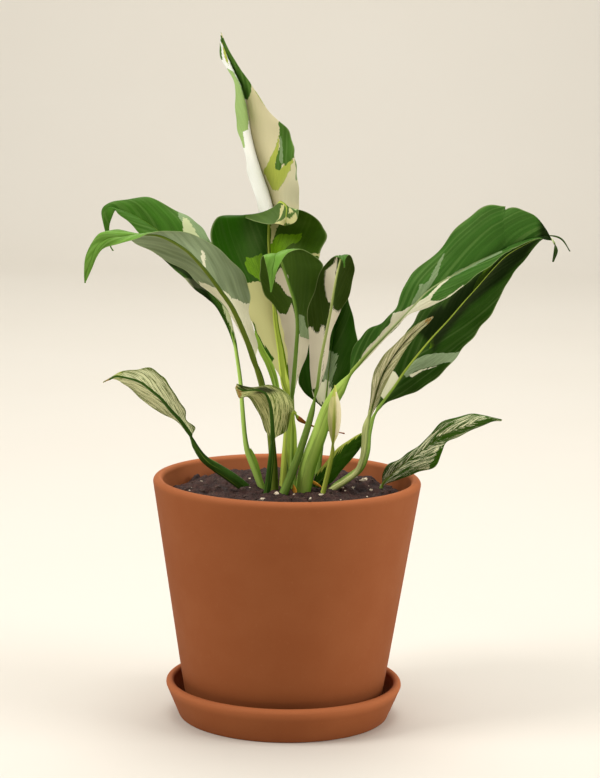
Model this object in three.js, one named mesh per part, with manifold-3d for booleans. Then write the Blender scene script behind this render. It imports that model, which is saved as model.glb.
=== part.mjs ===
// A potted domino peace lily: terracotta pot on its saucer, potting mix, and sixteen leaves and spears.
//
// Millimetres, +Z up. The origin is the centre of the saucer's underside, on the table.
// +X is to the right and +Y away when the plant is seen from its front.
// Every leaf is one solid: its round stalk flattens into the blade, which carries the midrib underneath.

import * as THREE from 'three';
import { mergeVertices } from 'three/addons/utils/BufferGeometryUtils.js';
import Module from 'manifold-3d';

// Driving dimensions
const GAP = 0.3; // clearance between pieces that touch in life
const POT_RIM_RADIUS = 80;
const POT_FOOT_RADIUS = 58.6;
const POT_WALL = 5.8;
const POT_HEIGHT = 145.5;
const POT_FLOOR = 7;
const DRAIN_RADIUS = 7;
const SAUCER_RIM_RADIUS = 71;
const SAUCER_FOOT_RADIUS = 63.4;
const SAUCER_WALL = 4.8;
const SAUCER_HEIGHT = 21.9;
const SAUCER_FLOOR = 5;
const SOIL_EDGE_HEIGHT = 133.5; // where the mix meets the pot's wall
const SOIL_MOUND = 3; // how much higher it stands in the middle
const SOIL_LUMP = 1.1; // height of its lumps
const SOIL_CLEARANCE = 0.6; // to the pot's faceted wall
const BLADE_THICKNESS = 0.7;
const ROUND_SIDES = 64;
const HOLE_SIDES = 10;

const SADDLE = 0.5; // tension of the curves through the leaf tables
const LEAF_ARCH = 0.08; // how far each half of a blade bows up, as a share of its width
const LEAST_HALF_WIDTH = 0.45;

// Places across a section, from the left margin to the right one
const BLADE_ACROSS = [-1, -0.62, -0.24, 0, 0.24, 0.62, 1];

const TERRACOTTA = 0xb5613a;
const MIX_BROWN = 0x2a201b;
const LEAF_GREEN = 0x2f5a1e;
const PALE_GREEN = 0x8fae5a;
const MOTTLED_GREEN = 0x9aa878;

// Leaves. A stalk row is x, y, z and radius, from under the mix upwards. A blade row is a point of the
// midrib, then the steps from it to the left and to the right margin, as seen from the upper face.
// body is how thick a rolled blade is, as a share of its width; steps is the number of blade sections.
const LEAVES = {
  leaf_mottled_left: {
    color: MOTTLED_GREEN,
    steps: 13,
    stalk: [
      [-19.5, 4, 130.5, 3],
      [-24.5, 3, 137, 3.2],
      [-33, 1, 144, 3.3],
      [-42.5, -1, 150.5, 2.9],
      [-49.5, -4, 156, 2.1],
      [-54.5, -7, 163.5, 1.4],
    ],
    blade: [
      [[-57.5, -9, 170.5], [1, 0, 0], [-1, 0, 0]],
      [[-60, -10.5, 175], [4.5, 3.5, 0], [-1, 1, -1]],
      [[-62.5, -12.5, 179], [4, 4, 1.5], [-1.5, 1, -1]],
      [[-65.5, -15, 183], [5, 3, 3], [-2.5, 3, -2]],
      [[-69.5, -19, 188], [6, 3, 4], [-5, 4.5, -3]],
      [[-74.5, -24, 195], [5.5, 2, 6.5], [-6.5, 5.5, -5.5]],
      [[-80.5, -29, 201], [7, 2.5, 8], [-7, 6, -5.5]],
      [[-86, -34, 206], [6, 3.5, 7.5], [-7.5, 3.5, -3.5]],
      [[-92.5, -39, 209], [4, 3.5, 5], [-5, 1.5, -2]],
      [[-99, -43, 210.5], [2.5, 2.5, 2.5], [-2, 0.5, -1.5]],
      [[-103, -45, 209], [0.5, 0.5, 1], [-0.5, 0, -0.5]],
      [[-106.5, -46, 207.5], [0.5, 0, 0.5], [0, 0, -0.5]],
    ],
  },
  leaf_arching_front: {
    steps: 22,
    stalk: [
      [-7, -1, 131.5, 2.4],
      [-7.5, -1, 138, 2.5],
      [-8.5, -3, 155, 2.4],
      [-10.5, -6, 174.5, 2.2],
      [-13.5, -9, 191, 2],
      [-16.5, -13, 205.5, 1.9],
    ],
    blade: [
      [[-21, -18, 219], [1.5, 1.5, -0.5], [-1.5, 1, 0]],
      [[-24.5, -21, 229], [6, 5.5, -2.5], [-2, 0.5, 0.5]],
      [[-29, -26, 240.5], [7, 7.5, -2], [-3.5, 2, 1]],
      [[-34, -30, 251], [10, 10.5, -1], [-7, 3, 2]],
      [[-40, -34, 260], [16, 14.5, -1], [-8, 4, 0.5]],
      [[-45.5, -38, 268], [18.5, 16, 1], [-9.5, 5, -2.5]],
      [[-52, -43, 276.5], [17, 16, 1.5], [-9, 6.5, -4.5]],
      [[-59, -48, 284], [13, 14.5, 3], [-10.5, 6, -6.5]],
      [[-67.5, -53, 290], [10, 9.5, 3.5], [-11, 4.5, -7]],
      [[-75, -58, 293.5], [5.5, 2.5, 2.5], [-11, 2, -6]],
      [[-81.5, -62, 294.5], [2.5, -4.5, 1], [-8.5, 2, -3.5]],
      [[-88, -66, 294.5], [1, -5, -2], [-6, 3, 1.5]],
      [[-94.5, -69, 293.5], [-0.5, -3.5, -3.5], [-5.5, 2, 3]],
      [[-102, -72, 292.5], [-1.5, -2, -5], [-4.5, 1, 3.5]],
      [[-108, -74, 288], [0, -1, -5.5], [-3, 1, 2]],
      [[-111.5, -75, 279.5], [0.5, 0, -4.5], [-2.5, 0, 3.5]],
      [[-114, -74, 272], [1, 0, -1.5], [-1, -0.5, 3]],
      [[-114.5, -73, 267.5], [0, 0, 0], [-0.5, 0, 0]],
    ],
  },
  leaf_arching_back: {
    steps: 19,
    stalk: [
      [-13, 9, 130, 2.1],
      [-15, 8, 136.5, 2.2],
      [-19.5, 9, 147.5, 2.1],
      [-24, 11, 158, 1.8],
      [-26, 13, 167.5, 1.4],
      [-28, 18, 185.5, 1.3],
      [-29.5, 23, 200, 1.2],
      [-32, 28, 214.5, 1.1],
    ],
    blade: [
      [[-34, 31, 223], [-1, 0, -0.5], [1.5, 0, 0]],
      [[-38.5, 35, 234], [-2, -1.5, 1], [2.5, 0, 2]],
      [[-44.5, 39, 246], [-2.5, -4, -1.5], [5, 1, 2.5]],
      [[-53, 43, 257], [-2.5, -7, -6], [10, 3, 4]],
      [[-60.5, 47, 266], [-4, -8, -7], [14.5, 3.5, 6.5]],
      [[-68, 51, 274], [-5, -9, -8.5], [17.5, 2.5, 7.5]],
      [[-75.5, 54, 281], [-6, -7, -7.5], [19, 3.5, 9]],
      [[-83.5, 57, 287.5], [-5.5, -6, -6.5], [18.5, 3.5, 8.5]],
      [[-91.5, 59, 292.5], [-4, -5, -5.5], [15, 4, 8.5]],
      [[-99.5, 61, 296.5], [-2, -4, -4], [10.5, 4, 10]],
      [[-107, 62, 299], [0, -3, -2.5], [5, 3, 5.5]],
      [[-112.5, 61, 300], [4, 0, -2], [0.5, 2.5, 2.5]],
      [[-115, 59, 296], [5, 0, -1], [-2, 1.5, 2]],
      [[-114, 58, 288], [2, 0, 0], [-1.5, 0, 1]],
      [[-111.5, 57, 277.5], [0.5, 0, 0], [-0.5, 0, 0]],
      [[-109.5, 57, 273.5], [0.5, 0, 0], [-0.5, 0, 0]],
    ],
  },
  leaf_upright: {
    steps: 16,
    stalk: [
      [3.5, 19, 129.5, 2.4],
      [3.5, 19, 135.5, 2.5],
      [2.5, 24, 154.5, 2.3],
      [1.5, 34, 180.5, 2.1],
      [0, 46, 209.5, 1.9],
      [-1, 56, 239, 1.7],
    ],
    blade: [
      [[-2, 62, 260], [-1, 0, 0], [1, 0, 0]],
      [[-5.5, 66, 278], [-6.5, -4.5, 1.5], [5.5, -3, 1]],
      [[-10, 69, 294.5], [-8.5, -9.5, 0.5], [13.5, -8.5, 0.5]],
      [[-14, 71, 309], [-9.5, -13, 0], [18, -10.5, 2]],
      [[-19, 72, 322], [-8, -14, 1], [21, -11.5, 4]],
      [[-23.5, 73, 335.5], [-7.5, -13, 1.5], [24, -11, 2]],
      [[-26.5, 73, 348], [-7.5, -12, 1.5], [22.5, -10, 1.5]],
      [[-28.5, 72, 360.5], [-7.5, -10.5, 2], [14, -7.5, -1.5]],
      [[-31.5, 71, 372.5], [-5, -8.5, 3], [8.5, -5.5, -1]],
      [[-37, 70, 384.5], [-3.5, -6, 0], [6, -3.5, -2]],
      [[-41.5, 68, 394], [-4, -4, -2], [3, -1.5, -0.5]],
      [[-44, 67, 401], [-2, -1, -1.5], [1.5, -1, 0]],
      [[-45.5, 66, 407], [0, 0, 0], [0.5, 0, 0]],
    ],
  },
  leaf_cupped: {
    steps: 20,
    stalk: [
      [-1.5, 9, 130, 2.7],
      [-2, 9, 136, 2.8],
      [-1, 9.5, 154, 2.8],
      [0, 10.5, 172, 2.7],
    ],
    blade: [
      [[0, 12, 190], [-1, 0, 0], [1.5, 0, 0]],
      [[-1, 16, 202.5], [-4, -2, 0.5], [2, -1.5, 0.5]],
      [[-4, 22, 217.5], [-9.5, -6, -1.5], [7.5, -4.5, 2]],
      [[-7.5, 29, 233.5], [-16, -10, 2.5], [14, -9.5, 3]],
      [[-10, 36, 249], [-22, -12.5, 3.5], [20.5, -13, 4]],
      [[-12, 42, 264], [-29.5, -15.5, 3.5], [26, -15.5, 3]],
      [[-13.5, 45, 276.5], [-34.5, -17.5, 4], [30.5, -16.5, 0]],
      [[-14, 46, 286], [-34.5, -16, 4.5], [35, -14, 0]],
      [[-13.5, 45, 295], [-31, -12.5, 2.5], [32.5, -11, -2.5]],
      [[-10.5, 42, 302.5], [-24.5, -4.5, -4], [22, -12.5, -3]],
      [[-7, 36, 307], [-16, -3, -11.5], [11.5, -10.5, -3.5]],
      [[-3.5, 28, 305], [-10.5, -11, -9.5], [7.5, -8.5, -3.5]],
      [[-3.5, 22, 299.5], [-5.5, -7, -4], [5.5, -4.5, -3]],
      [[-4, 20, 294], [-0.5, 0, 0], [0.5, 0, 0]],
    ],
  },
  leaf_curled_middle: {
    steps: 18,
    stalk: [
      [2.5, 2, 131.5, 2],
      [2, 2, 137.5, 2.1],
      [1.5, 2, 155, 2],
      [1, 0.5, 176.5, 1.9],
    ],
    blade: [
      [[2, -4, 192.5], [0.5, 0, 0], [-1, 0, 0]],
      [[3, -11, 208.5], [3, 3, -0.5], [-3, 2.5, -1]],
      [[4, -17, 224.5], [7, 6, -1.5], [-7, 5, -1]],
      [[4.5, -22, 239], [8.5, 8, -3], [-10, 7.5, -2]],
      [[3, -26, 252], [11, 9, -1.5], [-11.5, 8.5, -5]],
      [[0, -30, 262], [16.5, 10.5, 0], [-14, 8.5, -6.5]],
      [[-3, -34, 271], [22, 12, 0], [-14.5, 6.5, -5]],
      [[-5.5, -38, 278.5], [22.5, 15.5, -1.5], [-12, 3.5, -3.5]],
      [[-8, -43, 283], [14.5, 10, 1], [-8, -1, -2]],
      [[-9, -49, 281.5], [7.5, 4, 2.5], [-6, -2.5, 0.5]],
      [[-10, -52, 275.5], [3.5, -0.5, 1.5], [-3.5, -1, 0.5]],
      [[-10.5, -53, 269], [1.5, 0, 0], [-1.5, 0, 0]],
      [[-11, -53, 262], [0.5, 0, 0], [0, 0, 0]],
    ],
  },
  leaf_curled_right: {
    steps: 15,
    stalk: [
      [-4, -8, 132, 2.5],
      [-1, -9, 139.5, 2.7],
      [5, -12, 156, 2.4],
      [10, -15, 172.5, 2.1],
      [13.5, -18, 186, 1.8],
    ],
    blade: [
      [[15.5, -20, 196.5], [0.5, 0, 0], [-0.5, 0, 0]],
      [[17, -22, 205.5], [2, 1, 0], [-3.5, 1.5, -2.5]],
      [[18.5, -26, 220], [4, 3, -0.5], [-6.5, 3.5, -2]],
      [[21, -30, 234.5], [3, 2.5, 1], [-9.5, 4.5, -1.5]],
      [[23.5, -34, 249], [6, 2.5, 0.5], [-13.5, 6.5, -4]],
      [[25, -37, 261], [9.5, 3.5, -1], [-12, 6, -2.5]],
      [[26.5, -40, 270.5], [10, 3.5, 2], [-10, 5.5, 0]],
      [[28, -43, 278], [7.5, 2, 2], [-8, 5, -1]],
      [[29, -47, 283], [4, 0, 0.5], [-4.5, 2, -1]],
      [[30, -52, 281], [1, 0, 0], [-1, 0, 0]],
      [[30.5, -54, 277], [0.5, 0, 0.5], [0, 0, 0]],
    ],
  },
  leaf_dark_behind: {
    steps: 10,
    stalk: [
      [17.5, 16, 130, 1.8],
      [18, 16, 136.5, 1.9],
      [19, 19, 152.5, 1.8],
      [21, 23, 170, 1.6],
    ],
    blade: [
      [[22, 26, 182], [-1, 0, 0], [1, 0, 0]],
      [[23, 28, 193], [-14, -3.5, 0], [6.5, -2.5, 1.5]],
      [[24, 32, 205.5], [-18.5, -7, -4], [13, -5, -0.5]],
      [[25.5, 36, 220], [-16, -7.5, -3], [15.5, -6, -1.5]],
      [[28, 40, 234], [-13, -5.5, 0.5], [11, -4.5, 1]],
      [[30.5, 43, 247], [-8, -3, 0.5], [4.5, -2.5, 1.5]],
      [[32.5, 44, 257], [-4, -1, 0.5], [1.5, -1, 0]],
      [[33, 44, 264], [-0.5, 0, 0], [0, 0, 0]],
    ],
  },
  leaf_broad_upper: {
    steps: 25,
    stalk: [
      [11, 1, 130, 4.8],
      [12.5, 1, 138.5, 5.3],
      [14.5, 0, 154, 5],
      [18.5, -2, 171.5, 4.6],
      [23.5, -3, 187, 4.2],
      [30, -4, 199, 3.5],
    ],
    blade: [
      [[36, -6, 208.5], [-0.5, 0, 0.5], [1, 0, -0.5]],
      [[42, -8, 216.5], [-5.5, 2.5, 4], [1, 0, -1]],
      [[48, -10, 224], [-8, 3, 4.5], [1.5, 0, -1]],
      [[55, -12, 232], [-8, 3, 4.5], [1, 0, -1]],
      [[61.5, -14, 239.5], [-6.5, 2, 2], [1.5, 0, -1]],
      [[67.5, -16, 246], [-7, 3.5, 2], [1.5, -1.5, 0]],
      [[73.5, -18, 253], [-9, 6, 3.5], [4.5, -4, -2.5]],
      [[80, -21, 260.5], [-10.5, 7, 9], [8, -7, -4.5]],
      [[88.5, -24, 267], [-7, 7.5, 12], [7, -8.5, -5]],
      [[98, -27, 273], [-6, 6, 19], [5.5, -10, -3.5]],
      [[108, -31, 279.5], [-6, 3.5, 25.5], [5, -10, -2.5]],
      [[118, -35, 285], [-5, 2.5, 27.5], [3, -8.5, -0.5]],
      [[123, -36, 287.5], [0, 1, 27], [1.5, -8, -0.5]],
      [[125, -37, 289], [-2.5, 0.5, 22], [2, -7.5, 0]],
      [[131.5, -40, 292], [-1, 0, 18.5], [2, -6, 0.5]],
      [[139, -43, 294.5], [-0.5, -1, 13], [1.5, -4.5, 0]],
      [[145, -45, 296], [0, 0, 4], [0.5, -1.5, -2]],
      [[149, -46, 293.5], [-1, 0, 1.5], [-0.5, 0, -0.5]],
      [[151, -46, 288.5], [0.5, 0, 0], [-1, 0, 0]],
      [[149.5, -46, 281.5], [0.5, 0, 0], [-0.5, 0, 0]],
    ],
  },
  leaf_broad_lower: {
    steps: 19,
    stalk: [
      [23.5, 7, 131, 2.3],
      [28, 7, 137.5, 2.4],
      [37, 8, 144, 2.3],
      [44, 9, 150, 2.1],
      [47.5, 11, 159.5, 2],
      [48.5, 14, 171, 1.9],
    ],
    blade: [
      [[52, 17, 181.5], [-0.5, 0, 0], [1, 0, 0]],
      [[57.5, 19, 189.5], [-2.5, 3.5, 3.5], [1.5, -1.5, -1]],
      [[63.5, 22, 197.5], [-6.5, 5, 7], [6.5, -3, -5]],
      [[70, 25, 207], [-8, 7, 10.5], [11.5, -4.5, -9]],
      [[77.5, 28, 216.5], [-7.5, 7, 11.5], [15.5, -5.5, -9]],
      [[86.5, 32, 227], [-7.5, 9, 14], [17.5, -4.5, -7.5]],
      [[96, 36, 237], [-6, 9, 13.5], [18, -4, -5.5]],
      [[105, 39, 247.5], [-4.5, 9, 13], [18, -4, -4]],
      [[114, 42, 257.5], [-3.5, 7.5, 12], [16, -2.5, -1]],
      [[123, 44, 268], [-4, 5, 9], [12.5, -2, -1.5]],
      [[131.5, 45, 276.5], [-2, 3, 4.5], [11.5, -1, -1]],
      [[142, 45, 283], [-1.5, 1.5, 2], [9, -0.5, 2]],
      [[150.5, 44, 287.5], [0, 0, 0.5], [5, -0.5, 0.5]],
      [[158, 43, 289], [0, 0, 0], [0, 0, -0.5]],
      [[164, 41, 287], [0, 0, 0], [-0.5, 0, -0.5]],
      [[168.5, 39, 280], [0.5, 0, 0], [0, 0, 0]],
    ],
  },
  leaf_folded: {
    color: MOTTLED_GREEN,
    steps: 12,
    stalk: [
      [22.5, -1, 132.5, 1.7],
      [26.5, -1, 138, 1.8],
      [34.5, 1, 143, 1.7],
      [41.5, 3, 148.5, 1.6],
      [45, 5, 157.5, 1.6],
      [46, 8, 166.5, 1.9],
      [46.5, 10.5, 174, 2],
    ],
    blade: [
      [[48.5, 12.5, 181.5], [-1, 0, 0], [1.5, 0, -0.5]],
      [[51, 14, 189.5], [-2, -2, 2.5], [2.5, -2, -1]],
      [[53.5, 15, 198.5], [-4, -3, 3.5], [3, -3, -1.5]],
      [[57, 16, 207.5], [-5.5, -3, 2], [3.5, -3, -2]],
      [[62, 17, 216], [-5.5, -3, 2], [3.5, -3, -1.5]],
      [[67, 18, 223], [-4, -3, 1.5], [3, -2, -1]],
      [[72.5, 18, 229.5], [-3.5, -2, 1], [2, -2, -1]],
      [[78, 17, 234.5], [-3, -1, 1.5], [1.5, -1, -0.5]],
      [[82.5, 16, 238.5], [-1, 0, 1.5], [0.5, 0, -1]],
      [[85.5, 15, 241.5], [-0.5, 0, 0], [0, 0, -0.5]],
    ],
  },
  leaf_mottled_right: {
    color: MOTTLED_GREEN,
    steps: 14,
    stalk: [
      [55.5, 12, 130, 1.2],
      [56.5, 11, 136, 1.3],
    ],
    blade: [
      [[57.5, 10, 140], [-0.5, 0, 0.5], [1, 0, -0.5]],
      [[60.5, 8, 144], [-3, 1.5, 3], [2, -1.5, -2]],
      [[65, 4, 149.5], [-4, 3, 3.5], [3.5, -3.5, -4]],
      [[72, -1, 156.5], [-3, 4, 2], [5, -4.5, -6.5]],
      [[80, -7, 164], [-2.5, 4, 2], [7, -5, -9]],
      [[86, -12, 170], [-1.5, 1.5, 4.5], [5, -4.5, -5.5]],
      [[91.5, -17, 175], [-1.5, -0.5, 8], [2, 0, -4]],
      [[98, -22, 179.5], [0, 2, 7], [2, 2.5, -5]],
      [[105.5, -26, 183], [1, 2, 6.5], [2.5, 1.5, -3]],
      [[112.5, -30, 186.5], [1, 2, 3], [2, 0.5, -2.5]],
      [[118.5, -33, 188], [0.5, 0.5, 1], [1, 1, -1.5]],
      [[124, -36, 188], [0, 0, 0.5], [0, 0, -0.5]],
    ],
  },
  leaf_mottled_front: {
    color: MOTTLED_GREEN,
    steps: 12,
    stalk: [
      [-12.5, -8, 133, 1.9],
      [-11.5, -9, 140, 2],
      [-10, -14, 155, 1.8],
    ],
    blade: [
      [[-9, -20, 170.5], [0.5, 0, 0], [-1, 0, 0]],
      [[-9, -23, 177.5], [8, 3, -1], [-4.5, 2, -0.5]],
      [[-9.5, -27, 186], [11, 3.5, 0.5], [-7, 2, 0.5]],
      [[-10.5, -31, 194], [14, 7, -1], [-10.5, 1.5, 0.5]],
      [[-13, -35, 200.5], [11.5, 10.5, 0], [-11, -2, -1]],
      [[-17.5, -40, 203.5], [6.5, 9, 2], [-8.5, -6, -3.5]],
      [[-22.5, -44, 204], [2.5, 3, 1.5], [-5.5, -5, -4]],
      [[-26.5, -47, 204.5], [1, 0, 2.5], [-2.5, -1.5, -3]],
      [[-30, -49, 207], [0.5, 0, 1.5], [-0.5, 0, -1]],
    ],
  },
  spear_pale: {
    color: PALE_GREEN,
    steps: 7,
    body: 0.5,
    stalk: [
      [20.5, -11, 134.5, 1.5],
      [22, -11, 140.5, 1.5],
      [24.5, -13, 152.5, 1.5],
      [26.5, -15, 163.5, 1.2],
    ],
    blade: [
      [[26.5, -17, 169], [-0.5, 0, 0], [1, 0, 0]],
      [[27, -19, 176.5], [-2.5, 2, -0.5], [3, 2, -0.5]],
      [[27, -21, 185], [-3.5, 3, -0.5], [4, 3, -0.5]],
      [[27, -22, 193], [-3, 2.5, -0.5], [3.5, 2.5, -0.5]],
      [[27, -22, 199.5], [-1, 1, -0.5], [1.5, 1, 0]],
      [[27, -21, 204.5], [0, 0, 0], [0.5, 0, 0]],
    ],
  },
  leaf_young: {
    steps: 9,
    body: 0.3,
    stalk: [
      [15, 8, 130, 2.4],
      [17, 8, 136, 2.6],
    ],
    blade: [
      [[19, 8, 140], [-3, -1, 2], [3, -1, -1]],
      [[22, 8.5, 144], [-4.5, -1, 2.5], [5, -1, -3]],
      [[27.5, 10, 150.5], [-5, -1.5, 2], [5, -1, -2.5]],
      [[34, 12.5, 157.5], [-4.5, -1.5, 3.5], [4, -1, -3.5]],
      [[40, 15.5, 163.5], [-3, -1, 2.5], [3, -1, -3.5]],
      [[45.5, 18, 167.5], [-2, -0.5, 2], [1.5, -0.5, -1.5]],
      [[48.5, 20, 170], [0, 0, 0.5], [0.5, 0, -0.5]],
    ],
  },
  spear_green: {
    color: PALE_GREEN,
    steps: 13,
    body: 0.45,
    stalk: [
      [4.5, -4, 133.5, 1.6],
      [4, -4, 139.5, 1.7],
      [3, -4.5, 147.5, 1.8],
    ],
    blade: [
      [[2.5, -4.5, 153], [-2, 0, 0], [2, 0, 0]],
      [[2.5, -5, 162.5], [-3.5, 1, 0], [3, 1, 0]],
      [[2.5, -5, 173.5], [-3, 1, -0.5], [2.5, 1, 0]],
      [[2.5, -5, 180.5], [-1.5, 0, 0], [1.5, 0, 0]],
      [[3, -5, 185.5], [-1, -0.5, 0], [0.5, 0.5, 0]],
      [[6.5, -2, 181], [1, 0, 1], [-1, 0, -1]],
      [[10.5, 2, 178], [0.5, 0, 0.5], [0, 0, -1]],
      [[17.5, 8, 174], [0, 0, 0.5], [-0.5, 0, 0]],
      [[25, 10, 172], [0.5, 0, 0.5], [0, 0, 0]],
      [[34, 11, 170.5], [0, 0, 0], [0, 0, -0.5]],
    ],
  },
};

const wasm = await Module();
wasm.setup();

function meshGeometry(positions, triangles) {
  const geometry = new THREE.BufferGeometry();
  geometry.setAttribute('position', new THREE.Float32BufferAttribute(positions, 3));
  geometry.setIndex(triangles);
  return geometry;
}

function toSolid(geometry) {
  const bare = geometry.clone();
  bare.deleteAttribute('normal');
  bare.deleteAttribute('uv');
  const merged = mergeVertices(bare, 1e-4);
  return new wasm.Manifold(
    new wasm.Mesh({
      numProp: 3,
      vertProperties: new Float32Array(merged.attributes.position.array),
      triVerts: new Uint32Array(merged.index.array),
    }),
  );
}

function toGeometry(solid) {
  const mesh = solid.getMesh();
  return meshGeometry(Array.from(mesh.vertProperties), Array.from(mesh.triVerts));
}

function piece(name, geometry, color, roughness) {
  const material = new THREE.MeshStandardMaterial({ color, roughness, metalness: 0 });
  const mesh = new THREE.Mesh(geometry, material);
  mesh.name = name;
  return mesh;
}

// Turn a profile of [radius, height] points round the vertical axis.
function turned(profile) {
  const points = profile.map(([radius, height]) => new THREE.Vector2(radius, height));
  const geometry = new THREE.LatheGeometry(points, ROUND_SIDES);
  geometry.rotateX(Math.PI / 2);
  return geometry;
}

// Points of a rounded lip between an outer and an inner wall, from outside to inside.
function lip(outerRadius, wall, height) {
  const bead = wall / 2;
  return [0, 35, 90, 145, 180].map((degrees) => {
    const angle = THREE.MathUtils.degToRad(degrees);
    return [outerRadius - bead + bead * Math.cos(angle), height - bead + bead * Math.sin(angle)];
  });
}

const POT_BASE = SAUCER_FLOOR + GAP;
const POT_SLOPE = (POT_RIM_RADIUS - POT_FOOT_RADIUS) / (POT_HEIGHT - POT_WALL / 2 - POT_BASE);

function potInnerRadius(height) {
  return POT_FOOT_RADIUS - POT_WALL + POT_SLOPE * (height - POT_BASE);
}

function makePot() {
  const floorTop = POT_BASE + POT_FLOOR;
  return turned([
    [DRAIN_RADIUS, POT_BASE],
    [POT_FOOT_RADIUS - 1.5, POT_BASE],
    [POT_FOOT_RADIUS, POT_BASE + 1.5],
    ...lip(POT_RIM_RADIUS, POT_WALL, POT_HEIGHT),
    [potInnerRadius(floorTop + 4), floorTop + 4],
    [potInnerRadius(floorTop) - 4, floorTop],
    [DRAIN_RADIUS, floorTop],
    [DRAIN_RADIUS, POT_BASE],
  ]);
}

function makeSaucer() {
  const innerFoot = SAUCER_FOOT_RADIUS - SAUCER_WALL + 1.6;
  return turned([
    [0, 0],
    [SAUCER_FOOT_RADIUS - 1, 0],
    [SAUCER_FOOT_RADIUS, 1],
    ...lip(SAUCER_RIM_RADIUS, SAUCER_WALL, SAUCER_HEIGHT),
    [innerFoot, SAUCER_FLOOR + 0.8],
    [innerFoot - 0.8, SAUCER_FLOOR],
    [0, SAUCER_FLOOR],
  ]);
}

// Height of the mix: a low mound with lumps of two sizes.
function soilHeight(x, y) {
  const reach = potInnerRadius(SOIL_EDGE_HEIGHT);
  const mound = SOIL_MOUND * (1 - (x * x + y * y) / (reach * reach));
  const large = Math.sin(0.21 * x + 0.8) * Math.cos(0.17 * y - 0.4);
  const small = Math.sin(0.47 * x - 1.1 + 0.3 * Math.sin(0.2 * y)) * Math.sin(0.43 * y + 0.6);
  return SOIL_EDGE_HEIGHT + mound + SOIL_LUMP * (large + 0.8 * small);
}

// The filling of the pot: a lumpy top over a tapered plug, before the stem holes are cut.
function makeSoilBlank() {
  const rings = 9;
  const sides = 48;
  const floorTop = POT_BASE + POT_FLOOR + GAP;
  const positions = [0, 0, soilHeight(0, 0)];
  const rimRows = [];
  for (let ring = 1; ring <= rings; ring++) {
    const radius = ((potInnerRadius(SOIL_EDGE_HEIGHT) - SOIL_CLEARANCE) * ring) / rings;
    rimRows.push((x, y) => soilHeight(x * radius, y * radius), radius);
  }
  const walls = [
    [potInnerRadius(floorTop + 6) - SOIL_CLEARANCE, floorTop + 6],
    [potInnerRadius(floorTop) - 5, floorTop],
  ];
  for (const [radius, height] of walls) {
    rimRows.push(() => height, radius);
  }
  for (let row = 0; row < rimRows.length; row += 2) {
    for (let side = 0; side < sides; side++) {
      const angle = (2 * Math.PI * side) / sides;
      const [x, y] = [Math.cos(angle), Math.sin(angle)];
      positions.push(x * rimRows[row + 1], y * rimRows[row + 1], rimRows[row](x, y));
    }
  }
  const rows = rimRows.length / 2;
  const bottom = positions.length / 3;
  positions.push(0, 0, floorTop);
  const at = (row, side) => 1 + row * sides + (side % sides);
  const triangles = [];
  for (let side = 0; side < sides; side++) {
    triangles.push(0, at(0, side), at(0, side + 1));
    for (let row = 0; row + 1 < rows; row++) {
      triangles.push(at(row, side), at(row + 1, side), at(row + 1, side + 1));
      triangles.push(at(row, side), at(row + 1, side + 1), at(row, side + 1));
    }
    triangles.push(bottom, at(rows - 1, side + 1), at(rows - 1, side));
  }
  return meshGeometry(positions, triangles);
}

const vector = (row) => new THREE.Vector3(row[0], row[1], row[2]);

// A smooth curve through the points, read at whole steps from one point to the next.
function curveThrough(points) {
  const curve = new THREE.CatmullRomCurve3(points, false, 'catmullrom', SADDLE);
  return (place) => curve.getPoint(place / (points.length - 1));
}

function interpolate(values, place) {
  const first = Math.min(Math.floor(place), values.length - 2);
  return THREE.MathUtils.lerp(values[first], values[first + 1], place - first);
}

// Read one leaf's table into curves over all of its rows, stalk first.
function leafCurves(leaf) {
  const stalkEnd = leaf.stalk.length;
  const firstBlade = leaf.blade[0];
  const span = vector(firstBlade[2]).sub(vector(firstBlade[1])).normalize();
  const middles = [...leaf.stalk.map(vector), ...leaf.blade.map((row) => vector(row[0]))];
  const radii = leaf.stalk.map((row) => row[3]);
  const lastRadius = radii[stalkEnd - 1];
  const lefts = radii.map((radius) => span.clone().multiplyScalar(-radius));
  const rights = radii.map((radius) => span.clone().multiplyScalar(radius));
  leaf.blade.forEach((row, index) => {
    const along = index / (leaf.blade.length - 1);
    radii.push(lastRadius * (0.85 - 0.7 * Math.sqrt(along)));
    lefts.push(vector(row[1]));
    rights.push(vector(row[2]));
  });
  return {
    middle: curveThrough(middles),
    left: curveThrough(lefts),
    right: curveThrough(rights),
    radius: (place) => interpolate(radii, place),
    rows: middles.length,
    stalkEnd,
  };
}

// The places, in rows, where sections are taken: one for each stalk row, then evenly along the blade.
function sectionPlaces(curves, steps) {
  const places = [];
  for (let row = 0; row < curves.stalkEnd; row++) {
    places.push(row);
  }
  const length = curves.rows - 1 - curves.stalkEnd;
  for (let step = 0; step <= steps; step++) {
    places.push(curves.stalkEnd + (length * step) / steps);
  }
  return places;
}

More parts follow.
